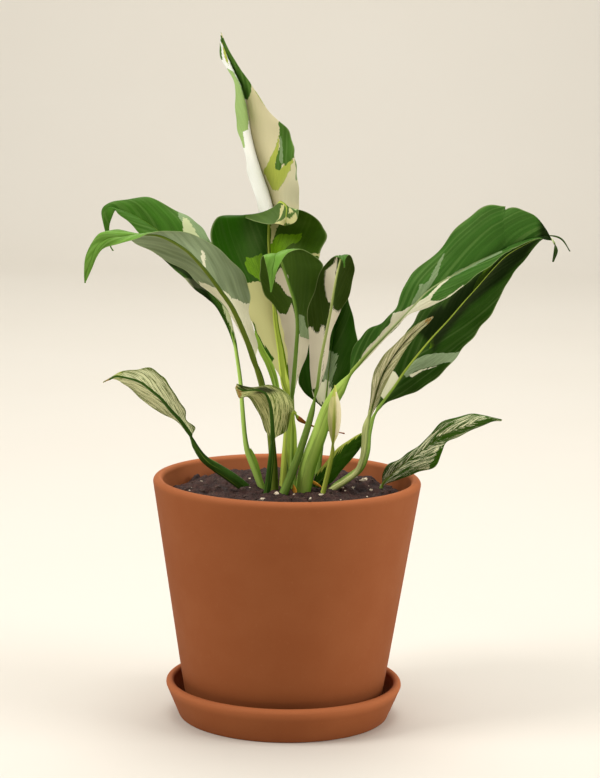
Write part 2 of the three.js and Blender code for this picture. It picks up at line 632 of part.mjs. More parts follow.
// The sheet halfway between a leaf's two faces, with the half thickness above and below each point.
function leafSheet(leaf) {
  const curves = leafCurves(leaf);
  const count = BLADE_ACROSS.length;
  const places = sectionPlaces(curves, leaf.steps ?? 16);
  const sections = places.map((place) => {
    const middle = curves.middle(place);
    const ahead = curves.middle(Math.min(place + 0.05, curves.rows - 1));
    const along = ahead.sub(curves.middle(Math.max(place - 0.05, 0))).normalize();
    let left = curves.left(place);
    let right = curves.right(place);
    const flat = THREE.MathUtils.smoothstep(place, curves.stalkEnd - 1, curves.stalkEnd + 1);
    const radius = curves.radius(place);
    const across = right.clone().sub(left);
    across.addScaledVector(along, -across.dot(along)).normalize();
    const least = Math.max(LEAST_HALF_WIDTH, (1 - flat) * radius);
    if (flat === 0 || left.length() < least) {
      left = across.clone().multiplyScalar(-least);
    }
    if (flat === 0 || right.length() < least) {
      right = across.clone().multiplyScalar(least);
    }
    return { middle, along, left, right, flat, radius };
  });
  const body = leaf.body ?? 0;
  return sections.map(({ middle, along, left, right, flat, radius }) => {
    const width = (left.length() + right.length()) / 2;
    return BLADE_ACROSS.map((bladePlace, index) => {
      const turn = (Math.PI * (index + 0.5)) / count;
      const v = THREE.MathUtils.lerp(-Math.cos(turn), bladePlace, flat);
      const half = v < 0 ? left : right;
      const outward = v < 0 ? left.clone().negate() : right.clone();
      const up = outward.cross(along).normalize();
      const share = Math.abs(v);
      const bow = 4 * LEAF_ARCH * half.length() * share * (1 - share) * flat;
      const point = middle.clone().addScaledVector(half, share).addScaledVector(up, bow);
      const round = Math.sin(turn);
      const sheet = BLADE_THICKNESS / 2 + body * width * round;
      const rib = index === (count - 1) / 2 ? radius : 0;
      return {
        point,
        up,
        above: THREE.MathUtils.lerp(radius * round, sheet, flat),
        below: THREE.MathUtils.lerp(radius * round, sheet + rib, flat),
      };
    });
  });
}

// Upward direction of the sheet at one point, from its neighbours along and across.
function sheetNormal(sheet, row, column) {
  const last = sheet[0].length - 1;
  const before = sheet[Math.max(row - 1, 0)][column].point;
  const after = sheet[Math.min(row + 1, sheet.length - 1)][column].point;
  const left = sheet[row][Math.max(column - 1, 0)].point;
  const right = sheet[row][Math.min(column + 1, last)].point;
  const normal = right.clone().sub(left).cross(after.clone().sub(before));
  return normal.lengthSq() > 1e-9 ? normal.normalize() : sheet[row][column].up;
}

// Close a leaf: both faces split into triangles alike, with a rim along the margins and caps at the ends.
function makeLeaf(leaf) {
  const sheet = leafSheet(leaf);
  const rows = sheet.length;
  const columns = BLADE_ACROSS.length;
  const positions = [];
  for (let row = 0; row < rows; row++) {
    for (const side of ['above', 'below']) {
      for (let column = 0; column < columns; column++) {
        const { point } = sheet[row][column];
        const normal = sheetNormal(sheet, row, column);
        const offset = side === 'above' ? sheet[row][column].above : -sheet[row][column].below;
        positions.push(...point.clone().addScaledVector(normal, offset));
      }
    }
  }
  const top = (row, column) => row * 2 * columns + column;
  const under = (row, column) => top(row, column) + columns;
  const triangles = [];
  const quad = (a, b, c, d) => triangles.push(a, b, c, a, c, d);
  for (let row = 0; row + 1 < rows; row++) {
    for (let column = 0; column + 1 < columns; column++) {
      quad(top(row, column), top(row, column + 1), top(row + 1, column + 1), top(row + 1, column));
      triangles.push(under(row, column), under(row + 1, column + 1), under(row, column + 1));
      triangles.push(under(row, column), under(row + 1, column), under(row + 1, column + 1));
    }
    const edge = columns - 1;
    quad(under(row, 0), top(row, 0), top(row + 1, 0), under(row + 1, 0));
    quad(top(row, edge), under(row, edge), under(row + 1, edge), top(row + 1, edge));
  }
  for (let column = 0; column + 1 < columns; column++) {
    const end = rows - 1;
    quad(under(0, column), under(0, column + 1), top(0, column + 1), top(0, column));
    quad(top(end, column), top(end, column + 1), under(end, column + 1), under(end, column));
  }
  return meshGeometry(positions, triangles);
}

// The plain hole in the mix for one stalk: a tube a little wider and deeper than the stalk.
function makeStemHole(leaf) {
  const points = [...leaf.stalk.map(vector), ...leaf.blade.map((row) => vector(row[0]))].slice(0, 3);
  const firstBlade = leaf.blade[0];
  const bladeReach = Math.max(vector(firstBlade[1]).length(), vector(firstBlade[2]).length());
  const radii = [...leaf.stalk.map((row) => row[3]), bladeReach];
  const start = points[0].clone().add(points[0].clone().sub(points[1]).setLength(2 * GAP));
  const line = [start, ...points.slice(1)];
  const positions = [];
  const span = new THREE.Vector3(1, 0, 0);
  for (let row = 0; row < line.length; row++) {
    const along = line[Math.min(row + 1, line.length - 1)].clone().sub(line[Math.max(row - 1, 0)]);
    const side = new THREE.Vector3().crossVectors(along, span).normalize();
    const other = new THREE.Vector3().crossVectors(side, along).normalize();
    const reach = (radii[row] + GAP) / Math.cos(Math.PI / HOLE_SIDES);
    for (let step = 0; step < HOLE_SIDES; step++) {
      const turn = (2 * Math.PI * step) / HOLE_SIDES;
      const point = line[row].clone().addScaledVector(other, reach * Math.cos(turn));
      positions.push(...point.addScaledVector(side, reach * Math.sin(turn)));
    }
  }
  const at = (row, step) => row * HOLE_SIDES + (step % HOLE_SIDES);
  const triangles = [];
  for (let step = 0; step < HOLE_SIDES; step++) {
    for (let row = 0; row + 1 < line.length; row++) {
      triangles.push(at(row, step), at(row, step + 1), at(row + 1, step + 1));
      triangles.push(at(row, step), at(row + 1, step + 1), at(row + 1, step));
    }
  }
  for (let step = 1; step + 1 < HOLE_SIDES; step++) {
    triangles.push(at(0, 0), at(0, step + 1), at(0, step));
    triangles.push(at(line.length - 1, 0), at(line.length - 1, step), at(line.length - 1, step + 1));
  }
  return meshGeometry(positions, triangles);
}

const plant = new THREE.Group();
plant.add(piece('saucer', makeSaucer(), TERRACOTTA, 0.75));
plant.add(piece('pot', makePot(), TERRACOTTA, 0.75));

let soil = toSolid(makeSoilBlank());
for (const leaf of Object.values(LEAVES)) {
  soil = soil.subtract(toSolid(makeStemHole(leaf)));
}
plant.add(piece('soil', toGeometry(soil), MIX_BROWN, 0.95));

for (const [name, leaf] of Object.entries(LEAVES)) {
  plant.add(piece(name, makeLeaf(leaf), leaf.color ?? LEAF_GREEN, 0.45));
}

export default plant;
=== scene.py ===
import itertools
import math
from collections import namedtuple

import bpy
import numpy as np
from mathutils import Euler, Matrix


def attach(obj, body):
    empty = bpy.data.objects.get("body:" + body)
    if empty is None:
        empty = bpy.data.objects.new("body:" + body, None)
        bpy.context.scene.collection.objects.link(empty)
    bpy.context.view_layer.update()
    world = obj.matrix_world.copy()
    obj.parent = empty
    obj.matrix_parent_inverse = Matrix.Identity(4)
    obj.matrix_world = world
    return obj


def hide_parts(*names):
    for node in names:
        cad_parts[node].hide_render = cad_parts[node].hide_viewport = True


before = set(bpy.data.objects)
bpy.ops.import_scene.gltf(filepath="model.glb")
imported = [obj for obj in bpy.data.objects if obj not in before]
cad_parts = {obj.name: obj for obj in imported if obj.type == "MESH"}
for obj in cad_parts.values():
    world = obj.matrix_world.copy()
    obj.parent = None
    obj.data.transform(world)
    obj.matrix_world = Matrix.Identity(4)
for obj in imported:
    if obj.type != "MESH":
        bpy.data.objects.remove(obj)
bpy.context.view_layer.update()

bl_info = {
    "name": "Potted peace lily",
    "version": (1, 0, 0),
    "blender": (4, 5, 0),
    "location": "View3D > Sidebar > Peace lily",
    "description": "Builds the looks of a potted domino peace lily round its packed model",
    "category": "Object",
}

MM = 0.001  # the tables are in millimetres, the scene in metres

# The pot and its saucer, as in the part's source.
POT_BASE = 5.3
POT_HEIGHT = 145.5
POT_RIM_RADIUS = 80
POT_FOOT_RADIUS = 58.6
POT_WALL = 5.8
POT_FLOOR = 7
DRAIN_RADIUS = 7
SAUCER_RIM_RADIUS = 71
SAUCER_FOOT_RADIUS = 63.4
SAUCER_WALL = 4.8
SAUCER_HEIGHT = 21.9
SAUCER_FLOOR = 5
POT_SLOPE = (POT_RIM_RADIUS - POT_FOOT_RADIUS) / (POT_HEIGHT - POT_WALL / 2 - POT_BASE)

# The potting mix. It is sunk a little so that the clods come back up to the height of the part's soil.
MIX_EDGE_HEIGHT = 133.5
MIX_MOUND = 3
MIX_LUMP = 1.1
MIX_BANK = 4.2
MIX_SINK = 0.8

# Leaves, as in the part's source. A stalk row is x, y, z and radius. A blade row is a point of the midrib,
# then the steps from it to the left and to the right margin, as seen from the upper face. A body rounds the
# leaf by that share of its half width. A nick is the row where the left margin is cut, and the share of the
# half width that is cut away there.
LEAVES = {
    "leaf_mottled_left": {
        "stalk": [
            (-19.5, 4, 130.5, 3), (-24.5, 3, 137, 3.2), (-33, 1, 144, 3.3), (-42.5, -1, 150.5, 2.9),
            (-49.5, -4, 156, 2.3), (-54.5, -7, 163.5, 1.75),
        ],
        "blade": [
            (-57.5, -9, 170.5, 1, 0, 0, -1, 0, 0), (-60, -10.5, 175, 5, 3.5, 0.5, -1, 1, -1),
            (-62.5, -12.5, 179, 2.5, 3, 1.2, -1.5, 1, -1), (-65.5, -15, 183, 5, 3, 3, -2.5, 3, -2),
            (-69.5, -19, 188, 6, 3, 4, -5, 4.5, -3), (-74.5, -24, 195, 5.5, 2, 6.5, -6.5, 5.5, -5.5),
            (-80.5, -29, 201, 7, 2.5, 8, -7, 6, -5.5), (-86, -34, 206, 6, 3.5, 7.5, -7.5, 3.5, -3.5),
            (-92.5, -39, 209, 4, 3.5, 5, -5, 1.5, -2), (-99, -43, 210.5, 2.5, 2.5, 2.5, -2, 0.5, -1.5),
            (-103, -45, 209, 0.5, 0.5, 1, -0.5, 0, -0.5), (-106.5, -46, 207.5, 0.5, 0, 0.5, 0, 0, -0.5),
        ],
    },
    "leaf_arching_front": {
        "stalk": [
            (-7, -1, 131.5, 2.4), (-7.5, -1, 138, 2.5), (-8.5, -3, 155, 2.4), (-10.5, -6, 174.5, 2.2),
            (-13.5, -9, 191, 2), (-16.5, -13, 205.5, 1.9),
        ],
        "blade": [
            (-21, -18, 219, 1.5, 1.5, -0.5, -1.5, 1, 0), (-24.5, -21, 229, 6, 5.5, -2.5, -2, 0.5, 0.5),
            (-29, -26, 240.5, 7, 7.5, -2, -3.5, 2, 1), (-34, -30, 251, 10, 10.5, -1, -7, 3, 2),
            (-40, -34, 260, 16, 14.5, -1, -8, 4, 0.5), (-45.5, -38, 268, 18.5, 16, 1, -9.5, 5, -2.5),
            (-52, -43, 276.5, 17, 16, 1.5, -9, 6.5, -4.5), (-59, -48, 284, 13, 14.5, 3, -10.5, 6, -6.5),
            (-67.5, -53, 290, 10, 9.5, 3.5, -11, 4.5, -7), (-75, -58, 293.5, 5.5, 2.5, 2.5, -11, 2, -6),
            (-81.5, -62, 294.5, 2.5, -4.5, 1, -8.5, 2, -3.5), (-88, -66, 294.5, 1, -5, -2, -6, 3, 1.5),
            (-94.5, -69, 293.5, -0.5, -3.5, -3.5, -5.5, 2, 3), (-102, -72, 292.5, -1.5, -2, -5, -4.5, 1, 3.5),
            (-108, -74, 288, 0, -1, -5.5, -3, 1, 2), (-111.5, -75, 279.5, 0.5, 0, -4.5, -2.5, 0, 3.5),
            (-114, -74, 272, 1, 0, -1.5, -1, -0.5, 3), (-114.5, -73, 267.5, 0, 0, 0, -0.5, 0, 0),
        ],
    },
    "leaf_arching_back": {
        "stalk": [
            (-13, 9, 130, 2.1), (-15, 8, 136.5, 2.2), (-19.5, 9, 147.5, 2.1), (-24, 11, 158, 1.8),
            (-26, 13, 167.5, 1.4), (-28, 18, 185.5, 1.3), (-29.5, 23, 200, 1.2), (-32, 28, 214.5, 1.1),
        ],
        "blade": [
            (-34, 31, 223, -1, 0, -0.5, 1.5, 0, 0), (-38.5, 35, 234, -2, -1.5, 1, 2.5, 0, 2),
            (-44.5, 39, 246, -2.5, -4, -1.5, 5, 1, 2.5), (-53, 43, 257, -2.5, -7, -6, 10, 3, 4),
            (-60.5, 47, 266, -4, -8, -7, 14.5, 3.5, 6.5), (-68, 51, 274, -5, -9, -8.5, 17.5, 2.5, 7.5),
            (-75.5, 54, 281, -6, -7, -7.5, 19, 3.5, 9), (-83.5, 57, 287.5, -5.5, -6, -6.5, 18.5, 3.5, 8.5),
            (-91.5, 59, 292.5, -4, -5, -5.5, 15, 4, 8.5), (-99.5, 61, 296.5, -2, -4, -4, 10.5, 4, 10),
            (-107, 62, 299, 0, -3, -2.5, 5, 3, 5.5), (-112.5, 61, 300, 4, 0, -2, 0.5, 2.5, 2.5),
            (-115, 59, 296, 5, 0, -1, -2, 1.5, 2), (-114, 58, 288, 2, 0, 0, -1.5, 0, 1),
            (-111.5, 57, 277.5, 0.5, 0, 0, -0.5, 0, 0), (-109.5, 57, 273.5, 0.5, 0, 0, -0.5, 0, 0),
        ],
    },
    "leaf_upright": {
        "stalk": [
            (3.5, 19, 129.5, 2.4), (3.5, 19, 135.5, 2.5), (2.5, 24, 154.5, 2.3), (1.5, 34, 180.5, 2.1),
            (0, 46, 209.5, 1.9), (-1, 56, 239, 1.7),
        ],
        "blade": [
            (-2, 62, 260, -1, 0, 0, 1, 0, 0), (-5.5, 66, 278, -6.5, -4.5, 1.5, 5.5, -3, 1),
            (-10, 69, 294.5, -8.5, -9.5, 0.5, 13.5, -8.5, 0.5), (-14, 71, 309, -9.5, -13, 0, 18, -10.5, 2),
            (-19, 72, 322, -8, -14, 1, 21, -11.5, 4), (-23.5, 73, 335.5, -7.5, -13, 1.5, 24, -11, 2),
            (-26.5, 73, 348, -7.5, -12, 1.5, 22.5, -10, 1.5),
            (-28.5, 72, 360.5, -7.5, -10.5, 2, 14, -7.5, -1.5),
            (-31.5, 71, 372.5, -5, -8.5, 3, 8.5, -5.5, -1), (-37, 70, 384.5, -3.5, -6, 0, 6, -3.5, -2),
            (-41.5, 68, 394, -4, -4, -2, 3, -1.5, -0.5), (-44, 67, 401, -2, -1, -1.5, 1.5, -1, 0),
            (-45.5, 66, 407, 0, 0, 0, 0.5, 0, 0),
        ],
    },
    "leaf_cupped": {
        "stalk": [(-1.5, 9, 130, 2.7), (-2, 9, 136, 2.8), (-1, 9.5, 154, 2.8), (0, 10.5, 172, 2.7)],
        "blade": [
            (0, 12, 190, -1, 0, 0, 1.5, 0, 0), (-3, 16, 202.5, -2, -2, 0.5, 4, -1.5, 0.5),
            (-5.25, 22, 217.5, -8.25, -6, -1.5, 8.75, -4.5, 2), (-8.5, 29, 233.5, -15, -10, 2.5, 15, -9.5, 3),
            (-10, 36, 249, -22, -12.5, 3.5, 20.5, -13, 4), (-12, 42, 264, -29.5, -15.5, 3.5, 26, -15.5, 3),
            (-13.5, 45, 276.5, -34.5, -17.5, 4, 30.5, -16.5, 0), (-14, 46, 286, -34.5, -16, 4.5, 35, -14, 0),
            (-13.5, 45, 295, -31, -12.5, 2.5, 32.5, -11, -2.5),
            (-10.5, 42, 302.5, -24.5, -4.5, -4, 22, -12.5, -3),
            (-7, 36, 307, -16, -3, -11.5, 11.5, -10.5, -3.5),
            (-3.5, 28, 305, -10.5, -11, -9.5, 7.5, -8.5, -3.5),
            (-3.5, 22, 299.5, -5.5, -7, -4, 5.5, -4.5, -3), (-4, 20, 294, -0.5, 0, 0, 0.5, 0, 0),
        ],
    },
    "leaf_curled_middle": {
        "stalk": [(2.5, 2, 131.5, 2), (2, 2, 137.5, 2.1), (1.5, 2, 155, 2), (1, 0.5, 176.5, 1.9)],
        "blade": [
            (2, -4, 192.5, 0.5, 0, 0, -1, 0, 0), (3, -11, 208.5, 3, 3, -0.5, -3, 2.5, -1),
            (4, -17, 224.5, 7, 6, -1.5, -5.5, 5, -1), (4.5, -22, 239, 8.5, 8, -3, -8.75, 7.5, -2),
            (3, -26, 252, 11, 9, -1.5, -10.25, 8.5, -5), (0, -30, 262, 16.5, 10.5, 0, -14, 8.5, -6.5),
            (-3, -34, 271, 22, 12, 0, -14.5, 6.5, -5), (-5.5, -38, 278.5, 22.5, 15.5, -1.5, -12, 3.5, -3.5),
            (-8, -43, 283, 14.5, 10, 1, -8, -1, -2), (-9, -49, 281.5, 7.5, 4, 2.5, -6, -2.5, 0.5),
            (-10, -52, 275.5, 3.5, -0.5, 1.5, -3.5, -1, 0.5), (-10.5, -53, 269, 1.5, 0, 0, -1.5, 0, 0),
            (-11, -53, 262, 0.5, 0, 0, 0, 0, 0),
        ],
    },
    "leaf_curled_right": {
        "stalk": [
            (-4, -8, 132, 2.5), (-1, -9, 139.5, 2.7), (5, -12, 156, 2.4), (10, -15, 172.5, 2.1),
            (13.5, -18, 186, 1.8),
        ],
        "blade": [
            (15.5, -20, 196.5, 0.5, 0, 0, -0.5, 0, 0), (17, -22, 205.5, 2, 1, 0, -3.5, 1.5, -2.5),
            (18.5, -26, 220, 4, 3, -0.5, -6.5, 3.5, -2), (21, -30, 234.5, 3, 2.5, 1, -9.5, 4.5, -1.5),
            (23.5, -34, 249, 6, 2.5, 0.5, -13.5, 6.5, -4), (25, -37, 261, 9.5, 3.5, -1, -12, 6, -2.5),
            (26.5, -40, 270.5, 10, 3.5, 2, -10, 5.5, 0), (28, -43, 278, 7.5, 2, 2, -8, 5, -1),
            (29, -47, 283, 4, 0, 0.5, -4.5, 2, -1), (30, -52, 281, 1, 0, 0, -1, 0, 0),
            (30.5, -54, 277, 0.5, 0, 0.5, 0, 0, 0),
        ],
    },
    "leaf_dark_behind": {
        "stalk": [(17.5, 16, 130, 1.8), (18, 16, 136.5, 1.9), (19, 19, 152.5, 1.8), (21, 23, 170, 1.6)],
        "blade": [
            (22, 26, 182, -1, 0, 0, 1, 0, 0), (23, 28, 193, -14, -3.5, 0, 6.5, -2.5, 1.5),
            (24, 32, 205.5, -18.5, -7, -4, 13, -5, -0.5), (25.5, 36, 220, -16, -7.5, -3, 15.5, -6, -1.5),
            (28, 40, 234, -13, -5.5, 0.5, 11, -4.5, 1), (30.5, 43, 247, -8, -3, 0.5, 4.5, -2.5, 1.5),
            (32.5, 44, 257, -4, -1, 0.5, 1.5, -1, 0), (33, 44, 264, -0.5, 0, 0, 0, 0, 0),
        ],
    },
    "leaf_broad_upper": {
        "stalk": [
            (8.5, 1, 130, 4.4), (9.75, 1, 138.5, 4.8), (12.75, 0, 154, 5), (18.5, -2, 171.5, 4.6),
            (23.5, -3, 187, 4.2), (30, -4, 199, 3.5),
        ],
        "blade": [
            (36, -6, 208.5, -0.5, 0, 0.5, 1, 0, -0.5), (42, -8, 216.5, -5.5, 2.5, 4, 1, 0, -1),
            (48, -10, 224, -8, 3, 4.5, 1.5, 0, -1), (55, -12, 232, -8, 3, 4.5, 1, 0, -1),
            (61.5, -14, 239.5, -6.5, 2, 2, 1.5, 0, -1), (67.5, -16, 246, -7, 3.5, 2, 1.5, -1.5, 0),
            (73.5, -18, 253, -9, 6, 3.5, 4.5, -4, -2.5), (80, -21, 260.5, -10.5, 7, 9, 8, -7, -4.5),
            (88.5, -24, 267, -7, 7.5, 12, 7, -8.5, -5), (98, -27, 273, -6, 6, 19, 5.5, -10, -3.5),
            (108, -31, 279.5, -6, 3.5, 25.5, 5, -10, -2.5), (118, -35, 285, -5, 2.5, 27.5, 3, -8.5, -0.5),
            (123, -36, 287.5, -2.5, 1.25, 25.5, 1.5, -8, -0.5), (125, -37, 289, -2, 0.75, 23.25, 2, -7.5, 0),
            (131.5, -40, 292, -1, 0, 18.75, 2, -6, 0.5), (139, -43, 294.5, -0.5, -1, 13, 1.5, -4.5, 0),
            (145, -45, 296, 0, 0, 4, 0.5, -1.5, -2), (149, -46, 293.5, -1.25, 0, 1.5, 0.75, 0, -0.5),
            (151, -46, 288.5, 1, 0, 0, -1.25, 0, 0), (149.5, -46, 281.5, 0.5, 0, 0, -0.5, 0, 0),
        ],
        "nick": (12.7, 0.07),
    },
    "leaf_broad_lower": {
        "stalk": [
            (23.5, 7, 131, 2.3), (28, 7, 137.5, 2.4), (37, 8, 144, 2.3), (44, 9, 150, 2.1),
            (47.5, 11, 159.5, 2), (48.5, 14, 171, 1.9),
        ],
        "blade": [
            (52, 17, 181.5, -0.5, 0, 0, 1, 0, 0), (57.5, 19, 189.5, -2.5, 3.5, 3.5, 1.5, -1.5, -1),
            (63.5, 22, 197.5, -6.5, 5, 7, 6.5, -3, -5), (70, 25, 207, -8, 7, 10.5, 11.5, -4.5, -9),
            (77.5, 28, 216.5, -7.5, 7, 11.5, 15.5, -5.5, -9), (86.5, 32, 227, -7.5, 9, 14, 17.5, -4.5, -7.5),
            (96, 36, 237, -6, 9, 13.5, 18, -4, -5.5), (105, 39, 247.5, -4.5, 9, 13, 18, -4, -4),
            (114, 42, 257.5, -3.5, 7.5, 12, 16, -2.5, -1), (123, 44, 268, -4, 5, 9, 12.5, -2, -1.5),
            (131.5, 45, 276.5, -2, 3, 4.5, 11.5, -1, -1), (142, 45, 283, -1.5, 1.5, 2, 9, -0.5, 2),
            (150.5, 44, 287.5, 0, 0, 0.5, 5, -0.5, 0.5), (158, 43, 289, 0, 0, 0, 0, 0, -0.5),
            (164, 41, 287, 0, 0, 0, -0.5, 0, -0.5), (168.5, 39, 280, 0.5, 0, 0, 0, 0, 0),
        ],
    },
    "leaf_folded": {
        "stalk": [
            (22.5, -1, 132.5, 1.7), (26.5, -1, 138, 1.8), (34.5, 1, 143, 1.7), (41.5, 3, 148.5, 1.6),
            (45, 5, 157.5, 1.6), (46, 8, 166.5, 1.9), (46.5, 10.5, 174, 2),
        ],
        "blade": [
            (48.5, 12.5, 181.5, -1, 0, 0, 1.5, 0, -0.5), (51, 14, 189.5, -2, -2, 2.5, 2.5, -2, -1),
            (53.5, 15, 198.5, -4, -3, 3.5, 3, -3, -1.5), (57, 16, 207.5, -5.5, -3, 2, 3.5, -3, -2),
            (62, 17, 216, -5.5, -3, 2, 3.5, -3, -1.5), (67, 18, 223, -4, -3, 1.5, 3, -2, -1),
            (72.5, 18, 229.5, -3.5, -2, 1, 2, -2, -1), (78, 17, 234.5, -3, -1, 1.5, 1.5, -1, -0.5),
            (82.5, 16, 238.5, -1, 0, 1.5, 0.5, 0, -1), (85.5, 15, 241.5, -0.5, 0, 0, 0, 0, -0.5),
        ],
    },
    "leaf_mottled_right": {
        "stalk": [(55.5, 12, 130, 1.2), (56.5, 11, 136, 1.3)],
        "blade": [
            (57.5, 10, 140, -0.5, 0, 0.5, 1, 0, -0.5), (60.5, 8, 144, -3, 1.5, 3, 2, -1.5, -2),
            (65, 4, 149.5, -4, 3, 3.5, 3.5, -3.5, -4), (72, -1, 156.5, -3, 4, 2, 5, -4.5, -6.5),
            (80, -7, 164, -2.5, 4, 2, 7, -5, -9), (86, -12, 170, -1.5, 1.5, 4.5, 5, -4.5, -5.5),
            (91.5, -17, 175, -1.5, -0.5, 8, 2, 0, -4), (98, -22, 179.5, 0, 2, 7, 2, 2.5, -5),
            (105.5, -26, 183, 1, 2, 6.5, 2.5, 1.5, -3), (112.5, -30, 186.5, 1, 2, 3, 2, 0.5, -2.5),
            (118.5, -33, 188, 0.5, 0.5, 1, 1, 1, -1.5), (124, -36, 188, 0, 0, 0.5, 0, 0, -0.5),
        ],
    },
    "leaf_mottled_front": {
        "stalk": [(-12.5, -8, 133, 1.9), (-11.5, -9, 140, 2), (-10, -14, 155, 1.8)],
        "blade": [
            (-9, -20, 170.5, 0.5, 0, 0, -1, 0, 0), (-9, -23, 177.5, 8, 3, -1, -4.5, 2, -0.5),
            (-9.5, -27, 186, 11, 3.5, 0.5, -7, 2, 0.5), (-10.5, -31, 194, 14, 7, -1, -10.5, 1.5, 0.5),
            (-13, -35, 200.5, 11.5, 10.5, 0, -11, -2, -1), (-17.5, -40, 203.5, 6.5, 9, 2, -8.5, -6, -3.5),
            (-22.5, -44, 204, 2.5, 3, 1.5, -5.5, -5, -4), (-26.5, -47, 204.5, 1, 0, 2.5, -2.5, -1.5, -3),
            (-30, -49, 207, 0.5, 0, 1.5, -0.5, 0, -1),
        ],
    },
    "spear_pale": {
        "stalk": [
            (20.5, -11, 134.5, 1.5), (22, -11, 140.5, 1.5), (24.5, -13, 152.5, 1.5), (26.5, -15, 163.5, 1.2),
        ],
        "blade": [
            (26.5, -17, 169, -0.5, 0, 0, 1, 0, 0), (27, -19, 176.5, -2.5, 2, -0.5, 3, 2, -0.5),
            (27, -21, 185, -3.5, 3, -0.5, 4, 3, -0.5), (27, -22, 193, -3, 2.5, -0.5, 3.5, 2.5, -0.5),
            (27, -22, 199.5, -1, 1, -0.5, 1.5, 1, 0), (27, -21, 204.5, 0, 0, 0, 0.5, 0, 0),
        ],
        "body": 0.5,
    },
    "leaf_young": {
        "stalk": [(15, 8, 130, 2.4), (17, 8, 136, 2.6)],
        "blade": [
            (19, 8, 140, -3, -1, 2, 3, -1, -1), (22, 8.5, 144, -4.5, -1, 2.5, 5, -1, -3),
            (27.5, 10, 150.5, -5, -1.5, 2, 5, -1, -2.5), (34, 12.5, 157.5, -4.5, -1.5, 3.5, 4, -1, -3.5),
            (40, 15.5, 163.5, -3, -1, 2.5, 3, -1, -3.5), (45.5, 18, 167.5, -2, -0.5, 2, 1.5, -0.5, -1.5),
            (48.5, 20, 170, 0, 0, 0.5, 0.5, 0, -0.5),
        ],
        "body": 0.3,
    },
    "spear_green": {
        "stalk": [(4.5, -4, 133.5, 1.6), (4, -4, 139.5, 1.7), (3, -4.5, 147.5, 1.8)],
        "blade": [
            (2.5, -4.5, 153, -2, 0, 0, 2, 0, 0), (2.5, -5, 162.5, -3.5, 1, 0, 3, 1, 0),
            (2.5, -5, 173.5, -3, 1, -0.5, 2.5, 1, 0), (2.5, -5, 180.5, -1.5, 0, 0, 1.5, 0, 0),
            (3, -5, 185.5, -1, -0.5, 0, 0.5, 0.5, 0), (6.5, -2, 181, 1, 0, 1, -1, 0, -1),
            (10.5, 2, 178, 0.5, 0, 0.5, 0, 0, -1), (17.5, 8, 174, 0, 0, 0.5, -0.5, 0, 0),
            (25, 10, 172, 0.5, 0, 0.5, 0, 0, 0), (34, 11, 170.5, 0, 0, 0, 0, 0, -0.5),
        ],
        "body": 0.45,
    },
}

# Sheaths and dry sheath tips at the foot of the leaves, in the same kind of table.
SHEATHS = {
    "sheath_middle": {
        "stalk": [(-3, 8, 175.5, 1), (-5, 7, 187.75, 1.4)],
        "blade": [
            (-7.25, 6, 197.5, -1.75, 0.75, -0.5, 1.75, 0.75, 0.5),
            (-9.5, 5.5, 206, -2, 1, -0.75, 2, 0.75, 0.5), (-12.25, 5, 213.25, -2, 1, -1, 1.75, 0.75, 0.75),
            (-16, 5, 220.25, -2, 1, -1, 1.25, 0.5, 0.75), (-18.75, 5, 226.75, -1.25, 0.5, -0.5, 1, 0.5, 0.25),
            (-20.75, 5, 232.5, -0.25, 0, 0, 0.25, 0, 0),
        ],
    },
    "sheath_left": {
        "stalk": [(-12.25, 7, 131.5, 0.6), (-13, 7, 135, 0.8)],
        "blade": [
            (-14.25, 6.5, 138.5, -1, 0.5, -0.25, 0.5, 0.25, 0.25),
            (-16.75, 7.25, 144.75, -1.5, 0.5, -0.5, 1, 0.5, 0.5),
            (-18.75, 8.25, 150.75, -1.5, 0.75, -0.5, 1.25, 0.5, 0.5),
            (-20.75, 9.5, 156, -1.5, 0.75, -0.5, 1, 0.5, 0.5),
            (-22.5, 10.25, 160.25, -0.25, 0.25, -0.25, 0.25, 0.25, 0.25),
        ],
    },
    "sheath_tip_front": {
        "stalk": [(4.5, -6, 133.25, 0.5), (4.5, -6, 135.5, 0.8)],
        "blade": [
            (4.5, -6.25, 137.5, -1.5, 0.5, 0, 1.5, 0.5, 0),
            (4.25, -6.25, 139.75, -1, 0.5, -0.25, 1, 0.5, 0.25), (3.75, -6, 142, 0, 0, 0, 0, 0, 0),
        ],
    },
    "sheath_tip_right": {
        "stalk": [(10, 4, 143.25, 0.5), (12, 3, 143, 0.6)],
        "blade": [
            (13.75, 2, 142.75, 0.25, 0.25, 0.75, -0.25, 0.25, -0.75),
            (16.5, 1, 141.5, 0.5, 0.5, 1, -0.25, 0.25, -0.75),
            (19, 0, 140.25, 0.25, 0.25, 0.75, -0.25, 0.25, -0.5), (21.25, -1, 139.5, 0, 0, 0, 0, 0, 0),
        ],
    },
}

